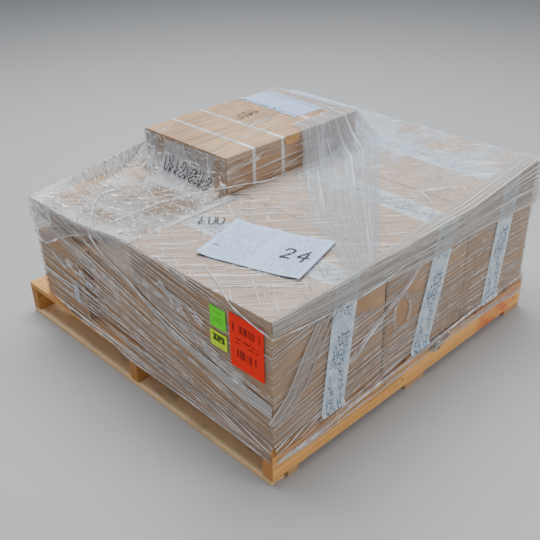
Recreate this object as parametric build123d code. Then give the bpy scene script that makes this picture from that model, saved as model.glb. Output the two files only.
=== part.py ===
# A film-wrapped load of brown cartons on a two-way timber pallet.
# Millimetres, +Z up. The origin is on the floor, under the middle of the pallet.
# +X follows the stringers and +Y follows the deck boards. Every place below is first
# measured from the pallet's near bottom corner and then moved to the origin by place().

from build123d import *
import os

os.makedirs("parts", exist_ok=True)

# Pallet
pallet_length = 1165.0        # along the stringers, X
pallet_width = 1165.0         # along the deck boards, Y
stringer_width = 35.0
stringer_height = 80.0
board_thickness = 16.0
deck_board_width = 100.0
deck_board_count = 7
bottom_board_width = 90.0
bottom_board_count = 3
board_edge_radius = 1.5

# Broken end of the near bottom board
split_start = 42.0            # X where the split begins
split_width = 12.0            # width of the missing sliver
split_depth = 150.0           # how far the split runs in from the face
short_piece_setback = 9.0     # the outer piece has lost this much of its end

# Main load
load_setback_x = 12.0         # cartons behind the pallet's left front edge
load_setback_y = 6.0          # cartons behind the pallet's right front edge
carton_gap = 4.0              # gap between neighbouring cartons
carton_edge_radius = 4.0
layer_height = 373.0          # height of the lower layer
front_row_length = 534.0      # Y length of the three front cartons
near_carton_width = 412.0     # X widths of the three front cartons
middle_carton_width = 374.0
far_carton_width = 350.0
far_carton_lift = 44.0        # how much the far carton's top rises to its outer edge
back_row_length = 512.0
seam_width = 2.0              # slot where a carton's two top flaps meet
seam_depth = 1.0

# Left stack: two low cartons and a small one on top
low_carton_height = 238.0
inner_low_setback = 30.0      # the inner low carton stands further in than the rest
inner_low_length = 268.0
outer_low_length = 240.0
low_carton_width = 388.0
small_carton_height = 104.0
small_carton_length = 196.0
small_carton_width = 330.0
small_carton_inset_x = 40.0
small_carton_inset_y = 12.0

# Top carton and its straps
top_carton_x = 391.0          # its near left corner, from the pallet's corner
top_carton_y = 576.0
top_carton_length = 577.0     # along X
top_carton_width = 392.0      # along Y
top_carton_height = 116.0
strap_places = (109.0, 231.0, 414.0)    # strap centres along the carton's length
strap_width = 13.0
strap_thickness = 0.8

# Tape on the three front cartons
tape_width = 88.0
tape_thickness = 0.4
tape_places = (233.0, 204.0, 196.0)     # tape centres across each carton's width
tape_tail = 60.0              # how far the tape stops above each carton's bottom
tape_back_gap = 8.0           # how far it stops before the carton's back edge

# Stretch film
film_thickness = 1.5          # a closed skin as thick as the film's layers and pleats
film_gap = 0.3                # clearance between the film and what it covers
film_stand_off = 2.0          # the side wrap's distance from the cartons' faces
tent_near_height = 60.0       # where the tent meets the top carton's near edge
tent_far_height = 76.0        # where it meets the top carton's far edge
veil_start = 330.0            # where the veil begins along the top carton's length
veil_lap = 90.0               # how far it lies on the top carton
veil_foot_near = 150.0        # how far its foot lies in front of the top carton
veil_foot_far = 130.0         # how far its foot lies beyond the top carton's end

# Papers
sheet_length = 297.0
sheet_width = 210.0
sheet_thickness = 0.3
sheet_corner = (178.0, 80.0)  # the sheet's nearest corner
sheet_turn = 16.9             # degrees
pouch_length = 276.0
pouch_width = 138.0
pouch_thickness = 1.2
pouch_end_distance = 114.0    # its centre, in from the top carton's far end
pouch_side_distance = 239.0   # and in from the carton's near side
pouch_turn = -2.0
label_thickness = 0.3
# each label: its near edge and low edge on the left front face, its width and height
green_label = (158.0, 386.0, 57.0, 59.0)
yellow_label = (157.0, 329.0, 61.0, 45.0)
red_label = (28.0, 304.0, 117.0, 151.0)

# Sizes that follow
deck_underside = board_thickness + stringer_height
deck_top = deck_underside + board_thickness
layer_top = deck_top + layer_height
near_x0 = load_setback_x
near_x1 = near_x0 + near_carton_width
middle_x0 = near_x1 + carton_gap
middle_x1 = middle_x0 + middle_carton_width
far_x0 = middle_x1 + carton_gap
far_x1 = far_x0 + far_carton_width
front_y0 = load_setback_y
front_y1 = front_y0 + front_row_length
back_y0 = front_y1 + carton_gap
back_y1 = back_y0 + back_row_length
low_top = deck_top + low_carton_height
outer_low_y0 = back_y0 + inner_low_length + carton_gap
small_y0 = back_y1 - small_carton_inset_y - small_carton_length
small_x0 = near_x0 + small_carton_inset_x
small_top = low_top + small_carton_height
top_z0 = layer_top + strap_thickness
top_z1 = top_z0 + top_carton_height
top_x1 = top_carton_x + top_carton_length
top_y1 = top_carton_y + top_carton_width
tape_top = layer_top + tape_thickness
cover_z0 = tape_top + film_gap
cover_z1 = cover_z0 + film_thickness
beyond_x = top_x1 + carton_gap
before_y = top_carton_y - carton_gap
behind_y = top_y1 + carton_gap
wrap_x0 = near_x0 - film_stand_off - film_thickness
wrap_x1 = far_x1 + film_stand_off + film_thickness
wrap_y0 = front_y0 - film_stand_off - film_thickness
wrap_y1 = back_y1 + film_stand_off + film_thickness


def place(shape):
    """Moves a shape from the pallet's corner frame to the part's origin."""
    return Pos(-pallet_length / 2, -pallet_width / 2, 0) * shape


def block(x0, x1, y0, y1, z0, z1):
    """A box between two corners."""
    box = Box(x1 - x0, y1 - y0, z1 - z0, align=(Align.MIN, Align.MIN, Align.MIN))
    return Pos(x0, y0, z0) * box


def save(shape, name):
    placed = place(shape)
    placed.label = name
    export_step(placed, f"parts/{name}.step")


def prism_along_y(points, y0, y1):
    """A prism whose outline is given in X and Z."""
    end = Plane(origin=(0, y1, 0), x_dir=(1, 0, 0), z_dir=(0, -1, 0))
    return extrude(end * make_face(Polyline(*points, close=True)), y1 - y0)


def prism_along_x(points, x0, x1):
    """A prism whose outline is given in Y and Z."""
    end = Plane(origin=(x0, 0, 0), x_dir=(0, 1, 0), z_dir=(1, 0, 0))
    return extrude(end * make_face(Polyline(*points, close=True)), x1 - x0)


def faceted_skin(points, facets, thickness):
    """A closed skin: flat facets through the points, and the same facets lower down."""
    upper = [Vector(*point) for point in points]
    lower = [Vector(x, y, z - thickness) for x, y, z in points]
    faces = []
    edge_uses = {}
    for facet in facets:
        faces.append(Face(Wire.make_polygon([upper[i] for i in facet])))
        faces.append(Face(Wire.make_polygon([lower[i] for i in facet])))
        for start, end in zip(facet, facet[1:] + facet[:1]):
            key = (min(start, end), max(start, end))
            edge_uses[key] = edge_uses.get(key, 0) + 1
    for (start, end), uses in edge_uses.items():
        if uses == 1:
            wall = [upper[start], upper[end], lower[end], lower[start]]
            faces.append(Face(Wire.make_polygon(wall)))
    return Solid(Shell(faces))


# Pallet pieces

def board_along_y(x0, width, z0):
    board = block(x0, x0 + width, 0, pallet_width, z0, z0 + board_thickness)
    long_edges = board.edges().filter_by(Axis.Y)
    return fillet(long_edges, board_edge_radius)


def spaced_starts(count, width):
    step = (pallet_length - width) / (count - 1)
    return [i * step for i in range(count)]


def stringer(y0):
    timber = block(0, pallet_length, y0, y0 + stringer_width, board_thickness, deck_underside)
    return fillet(timber.edges().filter_by(Axis.X), board_edge_radius)


def broken_board():
    """The near bottom board, split at its end with a sliver missing."""
    board = board_along_y(0, bottom_board_width, 0)
    sliver = Polyline(
        (split_start, -1),
        (split_start + split_width, -1),
        (split_start + split_width * 0.6, split_depth * 0.5),
        (split_start + split_width * 0.75, split_depth),
        (split_start + split_width * 0.2, split_depth * 0.55),
        close=True,
    )
    chip = Polyline((-1, -1), (split_start, -1), (split_start, 2),
                    (split_start * 0.4, short_piece_setback), (-1, 3), close=True)
    cutters = [extrude(make_face(line), board_thickness) for line in (sliver, chip)]
    return board - cutters[0] - cutters[1]


def make_pallet():
    for number, x0 in enumerate(spaced_starts(deck_board_count, deck_board_width), start=1):
        save(board_along_y(x0, deck_board_width, deck_underside), f"deck_board_{number}")
    middle_y = (pallet_width - stringer_width) / 2
    for name, y0 in (("right", 0), ("middle", middle_y), ("left", pallet_width - stringer_width)):
        save(stringer(y0), f"stringer_{name}")
    starts = spaced_starts(bottom_board_count, bottom_board_width)
    save(broken_board(), "bottom_board_near")
    save(board_along_y(starts[1], bottom_board_width, 0), "bottom_board_middle")
    save(board_along_y(starts[2], bottom_board_width, 0), "bottom_board_far")


# Cartons

def carton(x0, x1, y0, y1, z0, z1, seam_along=Axis.Y):
    """A closed carton with rounded edges and the slot between its top flaps."""
    box = block(x0, x1, y0, y1, z0, z1)
    box = fillet(box.edges(), carton_edge_radius)
    if seam_along == Axis.Y:
        middle = (x0 + x1 - seam_width) / 2
        slot = block(middle, middle + seam_width, y0, y1, z1 - seam_depth, z1)
    else:
        middle = (y0 + y1 - seam_width) / 2
        slot = block(x0, x1, middle, middle + seam_width, z1 - seam_depth, z1)
    return box - slot


def rising_carton(rise_start, y0, y1):
    """A far carton, whose top rises from rise_start to its outer edge."""
    outline = [(far_x0, deck_top), (far_x1, deck_top), (far_x1, layer_top + far_carton_lift)]
    if rise_start > far_x0:
        outline.append((rise_start, layer_top))
    outline.append((far_x0, layer_top))
    box = prism_along_y(outline, y0, y1)
    return fillet(box.edges(), carton_edge_radius)


def make_cartons():
    save(carton(near_x0, near_x1, front_y0, front_y1, deck_top, layer_top), "carton_near")
    save(carton(middle_x0, middle_x1, front_y0, front_y1, deck_top, layer_top), "carton_middle")
    save(rising_carton(far_x0, front_y0, front_y1), "carton_far")
    save(carton(middle_x0, middle_x1, back_y0, back_y1, deck_top, layer_top), "carton_back_middle")
    save(rising_carton(beyond_x, back_y0, back_y1), "carton_back_far")
    inner_x0 = near_x0 + inner_low_setback
    low_x1 = near_x0 + low_carton_width
    inner_y1 = back_y0 + inner_low_length
    outer_y1 = outer_low_y0 + outer_low_length
    save(carton(inner_x0, low_x1, back_y0, inner_y1, deck_top, low_top), "carton_left_inner")
    save(carton(near_x0, low_x1, outer_low_y0, outer_y1, deck_top, low_top), "carton_left_outer")
    save(carton(small_x0, small_x0 + small_carton_width, small_y0,
                small_y0 + small_carton_length, low_top, small_top), "carton_left_small")
    save(carton(top_carton_x, top_x1, top_carton_y, top_y1, top_z0, top_z1, Axis.X), "carton_top")


# Straps and tape

def strap(centre):
    """A flat band drawn tight round the top carton."""
    x0 = top_carton_x + centre - strap_width / 2
    outer = block(x0, x0 + strap_width, top_carton_y - strap_thickness, top_y1 + strap_thickness,
                  layer_top, top_z1 + strap_thickness)
    outer = fillet(outer.edges().filter_by(Axis.X), carton_edge_radius + strap_thickness)
    inner = block(x0, x0 + strap_width, top_carton_y, top_y1, top_z0, top_z1)
    inner = fillet(inner.edges().filter_by(Axis.X), carton_edge_radius)
    return outer - inner


def tape_body(left, right, z_left, z_right, y0, edge_radius):
    """A prism from the tape's back end to y0, with its upper front edge rounded."""
    low = deck_top + tape_tail
    outline = [(left, low), (right, low), (right, z_right), (left, z_left)]
    body = prism_along_y(outline, y0, front_y1 - tape_back_gap)
    front_edges = body.edges().group_by(Axis.Y)[0]
    return fillet(front_edges.sort_by(Axis.Z)[-1], edge_radius)


def tape(x0, rise, carton_width, centre):
    """Tape along a carton's top and down its front end, round the carton's edge.

    rise is how far the carton's top climbs over its whole width."""
    left = x0 + centre - tape_width / 2
    right = left + tape_width
    z_left, z_right = [layer_top + rise * (x - x0) / carton_width for x in (left, right)]
    outer = tape_body(left, right, z_left + tape_thickness, z_right + tape_thickness,
                      front_y0 - tape_thickness, carton_edge_radius + tape_thickness)
    return outer - tape_body(left, right, z_left, z_right, front_y0, carton_edge_radius)


def make_straps_and_tape():
    for number, centre in enumerate(strap_places, start=1):
        save(strap(centre), f"strap_{number}")
    save(tape(near_x0, 0, near_carton_width, tape_places[0]), "tape_near")
    save(tape(middle_x0, 0, middle_carton_width, tape_places[1]), "tape_middle")
    save(tape(far_x0, far_carton_lift, far_carton_width, tape_places[2]), "tape_far")


# Stretch film

def cover_underside(x):
    """Height of the top film's underside: level, then rising with the far cartons."""
    return cover_z0 + max(0, x - far_x0) * far_carton_lift / far_carton_width


def side_wrap():
    """The band of film round all four sides, open at its top and bottom."""
    high = cover_underside(wrap_x1)
    ring = block(wrap_x0, wrap_x1, wrap_y0, wrap_y1, deck_top, high)
    ring -= block(wrap_x0 + film_thickness, wrap_x1 - film_thickness,
                  wrap_y0 + film_thickness, wrap_y1 - film_thickness, deck_top, high)
    over = high + layer_height
    above_cover = [(wrap_x0, cover_z0), (far_x0, cover_z0), (wrap_x1, high), (wrap_x1, over),
                   (wrap_x0, over)]
    stack_z = small_top + film_gap
    above_stack = [(front_y1, cover_z0), (small_y0, stack_z), (wrap_y1, stack_z),
                   (wrap_y1, over), (front_y1, over)]
    ring -= prism_along_y(above_cover, wrap_y0, wrap_y1)
    return ring - prism_along_x(above_stack, wrap_x0, top_carton_x - film_gap)


def top_cover():
    """Film over the lower layer, left open where the top carton stands."""
    plan = {
        "near": (wrap_x0, wrap_y0), "right": (far_x0, wrap_y0), "far": (wrap_x1, wrap_y0),
        "far_back": (wrap_x1, wrap_y1), "beyond_back": (beyond_x, wrap_y1),
        "beyond_behind": (beyond_x, behind_y), "beyond_before": (beyond_x, before_y),
        "right_before": (far_x0, before_y), "left_before": (top_carton_x, before_y),
        "left_step": (top_carton_x, front_y1), "left": (wrap_x0, front_y1),
        "right_back": (far_x0, wrap_y1), "left_back": (top_carton_x, wrap_y1),
        "left_behind": (top_carton_x, behind_y), "right_behind": (far_x0, behind_y),
    }
    names = list(plan)
    points = [(x, y, cover_underside(x) + film_thickness) for x, y in plan.values()]
    panels = [
        ["near", "right", "right_before", "left_before", "left_step", "left"],
        ["right", "far", "far_back", "beyond_back", "beyond_behind", "beyond_before",
         "right_before"],
        ["beyond_behind", "beyond_back", "right_back", "right_behind"],
        ["right_back", "left_back", "left_behind", "right_behind"],
    ]
    facets = [[names.index(corner) for corner in panel] for panel in panels]
    return faceted_skin(points, facets, film_thickness)


def left_tent():
    """Film drawn from the left stack up to the top carton's left face."""
    left_z = small_top + film_gap + film_thickness
    edge_x = top_carton_x - film_gap - film_thickness
    corner_z = cover_z1 + film_thickness
    points = [(wrap_x0, wrap_y1, left_z), (wrap_x0, small_y0, left_z),
              (wrap_x0, front_y1, corner_z),
              (edge_x, top_carton_y, top_z0 + tent_near_height),
              (edge_x, top_y1, top_z0 + tent_far_height),
              (edge_x, front_y1, corner_z), (edge_x, wrap_y1, left_z)]
    facets = [[0, 1, 4], [1, 3, 4], [1, 2, 3], [2, 5, 3], [0, 4, 6]]
    return faceted_skin(points, facets, film_thickness)


def veil():
    """Film drawn over the top carton's near right corner and down to the cartons round it."""
    start_x = top_carton_x + veil_start
    end_x = top_x1 + film_gap + film_thickness
    near_y = top_carton_y - strap_thickness - film_gap
    lap_y = top_carton_y + veil_lap
    high = top_z1 + strap_thickness + film_gap + film_thickness
    foot_y = near_y - veil_foot_near
    foot_x = end_x + veil_foot_far
    start_z, end_z, foot_z = [cover_underside(x) + 2 * film_thickness
                              for x in (start_x, end_x, foot_x)]
    points = [(start_x, lap_y, high), (end_x, lap_y, high), (end_x, near_y, high),
              (start_x, near_y, high), (start_x, foot_y, start_z), (end_x, foot_y, end_z),
              (foot_x, near_y, foot_z), (foot_x, lap_y, foot_z)]
    facets = [[0, 1, 2, 3], [3, 2, 5], [3, 5, 4], [2, 1, 7, 6], [2, 6, 5]]
    return faceted_skin(points, facets, film_thickness)


def make_film():
    save(side_wrap(), "film_side_wrap")
    save(top_cover(), "film_top_cover")
    save(left_tent(), "film_left_tent")
    save(veil(), "film_veil")


# Papers

def make_papers():
    sheet = Rectangle(sheet_width, sheet_length, align=(Align.MIN, Align.MIN))
    sheet = extrude(sheet, sheet_thickness)
    sheet = Pos(sheet_corner[0], sheet_corner[1], cover_z1) * Rot(0, 0, sheet_turn) * sheet
    save(sheet, "paper_sheet")
    pouch = extrude(RectangleRounded(pouch_width, pouch_length, 4), pouch_thickness)
    pouch_z = top_z1 + strap_thickness
    pouch_x = top_x1 - pouch_end_distance
    pouch_y = top_carton_y + pouch_side_distance
    pouch = Pos(pouch_x, pouch_y, pouch_z) * Rot(0, 0, pouch_turn) * pouch
    save(pouch, "document_pouch")
    for name, label in (("green", green_label), ("yellow", yellow_label), ("red", red_label)):
        y0, z0, width, height = label
        save(block(wrap_x0 - label_thickness, wrap_x0, y0, y0 + width, z0, z0 + height),
             f"label_{name}")


make_pallet()
make_cartons()
make_straps_and_tape()
make_film()
make_papers()
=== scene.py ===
import math
import random
import bpy
import bmesh
from mathutils import Matrix, Vector, noise


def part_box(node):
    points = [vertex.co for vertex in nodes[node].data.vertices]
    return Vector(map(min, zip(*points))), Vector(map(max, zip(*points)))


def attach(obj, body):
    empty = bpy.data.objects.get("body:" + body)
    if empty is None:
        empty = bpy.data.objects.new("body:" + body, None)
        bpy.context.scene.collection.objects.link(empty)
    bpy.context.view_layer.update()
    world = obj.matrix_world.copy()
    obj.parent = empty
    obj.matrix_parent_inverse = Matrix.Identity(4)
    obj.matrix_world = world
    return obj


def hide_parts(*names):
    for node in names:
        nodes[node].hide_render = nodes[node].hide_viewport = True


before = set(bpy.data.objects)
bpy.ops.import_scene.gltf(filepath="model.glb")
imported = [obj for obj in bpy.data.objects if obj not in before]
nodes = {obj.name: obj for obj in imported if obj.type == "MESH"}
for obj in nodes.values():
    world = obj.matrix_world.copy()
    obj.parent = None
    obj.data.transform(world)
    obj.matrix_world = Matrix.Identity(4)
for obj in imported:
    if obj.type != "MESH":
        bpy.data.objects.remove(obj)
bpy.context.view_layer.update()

dice = random.Random(41)
mm = 0.001

# Places are given in millimetres from the pallet's near bottom corner:
# x runs along the stringers, y along the deck boards.
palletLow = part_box("stringer_right")[0]
cornerX, cornerY = palletLow.x, palletLow.y


def at(x, y, z):
    return Vector((cornerX + x * mm, cornerY + y * mm, z * mm))


def boxInMm(node):
    low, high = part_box(node)
    return ([(low.x - cornerX) / mm, (low.y - cornerY) / mm, low.z / mm],
            [(high.x - cornerX) / mm, (high.y - cornerY) / mm, high.z / mm])


wrapLow, wrapHigh = boxInMm("film_side_wrap")
coverLow = boxInMm("film_top_cover")[0]
nearHigh = boxInMm("carton_near")[1]
farLow, farHigh = boxInMm("carton_far")
topLow, topHigh = boxInMm("carton_top")
smallLow, smallHigh = boxInMm("carton_left_small")
deckTop = boxInMm("deck_board_1")[1][2]
leftX = wrapLow[0]              # the film's plane on the left front face
rightY = wrapLow[1]             # and on the right front face
levelZ = coverLow[2] + 1.5      # top of the level part of the film


# Camera and studio

cameraSettings = {
    "place": (-1.5304, -1.5822, 1.4256),
    "right": (0.71556, -0.69828, -0.01915),
    "up": (0.3624, 0.34765, 0.86475),
    "ahead": (0.59719, 0.62573, -0.50183),
    "lens": 51.03,
    "sensor": 36.0,
}


def makeCamera():
    settings = cameraSettings
    data = bpy.data.cameras.new("camera")
    data.lens = settings["lens"]
    data.sensor_width = settings["sensor"]
    camera = bpy.data.objects.new("camera", data)
    bpy.context.scene.collection.objects.link(camera)
    back = -Vector(settings["ahead"])
    turn = Matrix((settings["right"], settings["up"], back)).transposed().to_4x4()
    camera.matrix_world = Matrix.Translation(settings["place"]) @ turn
    bpy.context.scene.camera = camera


studioSettings = {
    "floorSize": 30.0,
    "floorColour": (0.40, 0.40, 0.40, 1),
    "floorRoughness": 0.9,
    "worldColour": (0.80, 0.87, 1.0, 1),
    "worldStrength": 0.29,
    # name: place, aimed at, size, power, colour
    "lamps": {
        "skyPanel": ((0.5, 1.0, 4.2), (0, 0, 0.3), 4.2, 360, (0.97, 0.99, 1.0)),
        "leftPanel": ((-3.5, -0.1, 1.0), (0, 0, 0.3), 2.2, 17, (1.0, 0.985, 0.96)),
        "rightPanel": ((1.2, -3.8, 2.2), (0, 0, 0.3), 2.4, 76, (1.0, 0.98, 0.95)),
    },
}


def makeStudio():
    settings = studioSettings
    bm = bmesh.new()
    bmesh.ops.create_grid(bm, x_segments=1, y_segments=1, size=settings["floorSize"] / 2)
    floor = meshObject("studioFloor", bm)
    finish = plainFinish("studioFloor", settings["floorColour"], settings["floorRoughness"])
    floor.data.materials.append(finish)
    world = bpy.data.worlds.new("studio")
    world.use_nodes = True
    background = world.node_tree.nodes["Background"]
    background.inputs["Color"].default_value = settings["worldColour"]
    background.inputs["Strength"].default_value = settings["worldStrength"]
    bpy.context.scene.world = world
    for name, (place, aim, size, power, tint) in settings["lamps"].items():
        light = bpy.data.lights.new(name, "AREA")
        light.shape = "DISK"
        light.size = size
        light.energy = power
        light.color = tint
        lamp = bpy.data.objects.new(name, light)
        bpy.context.scene.collection.objects.link(lamp)
        direction = Vector(aim) - Vector(place)
        lamp.rotation_euler = direction.to_track_quat("-Z", "Y").to_euler()
        lamp.location = place
    print("studio made")


# Mesh helpers

def meshObject(name, bm):
    mesh = bpy.data.meshes.new(name)
    bm.to_mesh(mesh)
    bm.free()
    piece = bpy.data.objects.new(name, mesh)
    bpy.context.scene.collection.objects.link(piece)
    return piece


def finishPiece(name, bm, material, slot, *replaced, smooth=True):
    bmesh.ops.recalc_face_normals(bm, faces=bm.faces[:])
    piece = meshObject(name, bm)
    piece.data.materials.append(material)
    for polygon in piece.data.polygons:
        polygon.use_smooth = smooth
    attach(piece, "root")
    if replaced:
        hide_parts(*replaced)
    return piece


def newSheet():
    # keeps lengths along and across the sheet for its finish
    bm = bmesh.new()
    bm.verts.layers.float.new("along")
    bm.verts.layers.float.new("across")
    return bm


def addGrid(bm, columns, rows, placeOf, span=None):
    # placeOf turns u and v from 0 to 1 into a place
    made = bmesh.ops.create_grid(bm, x_segments=columns, y_segments=rows, size=0.5)["verts"]
    layers = [bm.verts.layers.float[name] for name in ("along", "across")] if span else []
    for vert in made:
        u, v = vert.co.x + 0.5, vert.co.y + 0.5
        for layer, share, length in zip(layers, (u, v), span or ()):
            vert[layer] = share * length
        vert.co = placeOf(u, v)
    return made


def addTube(bm, columns, around, placeOf):
    # v runs once round the tube, and its seam is closed
    made = addGrid(bm, columns, around, placeOf)
    bmesh.ops.remove_doubles(bm, verts=made, dist=0.00002)


def smoothCurve(points, count):
    # even points along a smooth curve through given points
    places = [Vector(point) for point in points]
    places = [places[0] * 2 - places[1]] + places + [places[-1] * 2 - places[-2]]
    out = []
    spans = len(places) - 3
    for i in range(count + 1):
        t = min(i / count * spans, spans - 1e-6)
        k = int(t)
        f = t - k
        a, b, c, d = places[k:k + 4]
        out.append(0.5 * ((2 * b) + (c - a) * f + (2 * a - 5 * b + 4 * c - d) * f * f
                          + (3 * b - a - 3 * c + d) * f * f * f))
    return out


def mix(a, b, t):
    return a + (b - a) * t


def smoothStep(low, high, value):
    t = min(max((value - low) / (high - low), 0), 1)
    return t * t * (3 - 2 * t)


# Shader helpers

class Sock:
    def __init__(self, finish, socket):
        self.finish = finish
        self.socket = socket

    def maths(self, operation, *values):
        inputs = dict(enumerate(values))
        return self.finish.node("ShaderNodeMath", {"operation": operation}, inputs)

    def __add__(self, other):
        return self.maths("ADD", self, other)

    def __radd__(self, other):
        return self.maths("ADD", other, self)

    def __sub__(self, other):
        return self.maths("SUBTRACT", self, other)

    def __rsub__(self, other):
        return self.maths("SUBTRACT", other, self)

    def __mul__(self, other):
        return self.maths("MULTIPLY", self, other)

    def __rmul__(self, other):
        return self.maths("MULTIPLY", other, self)

    def __truediv__(self, other):
        return self.maths("DIVIDE", self, other)

    def __pow__(self, other):
        return self.maths("POWER", self, other)

    def __abs__(self):
        return self.maths("ABSOLUTE", self)

    def low(self, other):
        return self.maths("MINIMUM", self, other)

    def high(self, other):
        return self.maths("MAXIMUM", self, other)

    def fraction(self):
        return self.maths("FRACT", self)

    def floor(self):
        return self.maths("FLOOR", self)

    def over(self, other):
        return self.maths("GREATER_THAN", self, other)

    def ramp(self, start, end):
        # 0 below start, 1 above end, smooth between
        return self.finish.node("ShaderNodeMapRange", {"interpolation_type": "SMOOTHSTEP"},
                                {"Value": self, "From Min": start, "From Max": end})


class Finish:
    def __init__(self, name):
        self.material = bpy.data.materials.new(name)
        self.material.use_nodes = True
        self.tree = self.material.node_tree
        self.shader = self.tree.nodes["Principled BSDF"]

    def node(self, kind, settings=None, inputs=None, out=0):
        made = self.tree.nodes.new(kind)
        for name, value in (settings or {}).items():
            setattr(made, name, value)
        for name, value in (inputs or {}).items():
            self.feed(made.inputs[name], value)
        return Sock(self, made.outputs[out])

    def feed(self, target, value):
        if isinstance(value, Sock):
            self.tree.links.new(value.socket, target)
        else:
            target.default_value = value

    def set(self, **values):
        for name, value in values.items():
            self.feed(self.shader.inputs[name.replace("_", " ")], value)

    def place(self):
        return self.node("ShaderNodeTexCoord", out="Object")

    def parts(self, vector):
        split = self.node("ShaderNodeSeparateXYZ", inputs={0: vector}).socket.node
        return [Sock(self, output) for output in split.outputs]

    def join(self, x, y, z):
        return self.node("ShaderNodeCombineXYZ", inputs={0: x, 1: y, 2: z})

    def dot(self, vector, direction):
        return self.node("ShaderNodeVectorMath", {"operation": "DOT_PRODUCT"},
                         {0: vector, 1: direction}, "Value")

    def length(self, x, y, z=0):
        return self.node("ShaderNodeVectorMath", {"operation": "LENGTH"},
                         {0: self.join(x, y, z)}, "Value")

    def noise(self, vector, scale, detail=2.0, rough=0.5):
        return self.node("ShaderNodeTexNoise", {},
                         {"Vector": vector, "Scale": scale, "Detail": detail,
                          "Roughness": rough})

    def cells(self, vector, scale, out="Distance"):
        return self.node("ShaderNodeTexVoronoi", {}, {"Vector": vector, "Scale": scale}, out)

    def creases(self, along, across, seed, scale, stretch, width, gaps):
        # long thin lines that break off: painted highlights along the crests and painted shade along
        # their sides
        run = along * stretch
        field = self.noise(self.join(run + seed, across * scale, seed), 1, 0.5)
        breaks = self.noise(self.join(run * 1.7 + seed, across * scale * 0.6, seed + 5), 1, 1)
        kept = breaks.ramp(gaps, gaps + 0.1)
        crest = (1 - abs(field - 0.5).ramp(0, width)) * kept
        side = (1 - abs(field - (0.5 - width * 1.4)).ramp(0, width * 1.3)) * kept
        return crest, side

    def threads(self, along, across, seed, scale, stretch, width, gaps):
        # lines of one even width, side by side, each with its own breaks: painted highlights with
        # painted shade beside them
        run = along * stretch
        wander = self.noise(self.join(run + seed, across * scale * 0.25, seed), 1, 0.5)
        count = across * scale + wander * 2.4
        breaks = self.noise(self.join(run * 2.4 + seed, count.floor() * 7.3, seed + 5), 1, 1)
        kept = breaks.ramp(gaps, gaps + 0.07)
        offset = count.fraction() - 0.5
        crest = (1 - abs(offset).ramp(width * 0.3, width)) * kept
        side = (1 - abs(offset + width * 1.6).ramp(width * 0.3, width * 1.3)) * kept
        return crest, side

    def blend(self, amount, first, second, kind="MIX"):
        return self.node("ShaderNodeMix", {"data_type": "RGBA", "blend_type": kind},
                         {0: amount, 6: first, 7: second}, 2)

    def bump(self, height, strength, distance):
        normal = self.node("ShaderNodeBump", {},
                           {"Height": height, "Strength": strength, "Distance": distance})
        self.set(Normal=normal)


def colour(red, green, blue):
    return (red, green, blue, 1)


def plainFinish(name, base, roughness):
    finish = Finish(name)
    finish.set(Base_Color=base, Roughness=roughness)
    return finish.material


def dress(node, material):
    # gives a solid of the frame its finish
    materials = nodes[node].data.materials
    materials.clear()
    materials.append(material)


def nodesNamed(start):
    return sorted(name for name in nodes if name.startswith(start))


# Timber

timberSettings = {
    "early": (0.74, 0.38, 0.115, 1),
    "late": (0.40, 0.165, 0.045, 1),
    "fibre": (0.80, 0.50, 0.22, 1),
    "bleached": (0.94, 0.68, 0.41, 1),
    "knot": (0.14, 0.05, 0.018, 1),
    "endGrain": (0.26, 0.095, 0.03, 1),
    "dirt": (0.10, 0.07, 0.05, 1),
    "redPaint": (0.50, 0.06, 0.03, 1),
    "topFaceLight": (1.14, 1.36, 1.7, 1),      # painted light: the bottom boards' upper faces made paler, standing in for sky light that reaches them in the openings
    "ringsPerMetre": 210,
    "stretch": 0.045,
    "heart": (0.03, -0.09),                 # the rings' middle, beside and below the board
    # knots seen in the boards: distance along, height and size, in mm
    "knots": {
        "stringer_right": ((228, 60, 11), (520, 46, 6), (700, 66, 5), (1000, 34, 4)),
    },
}


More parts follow.
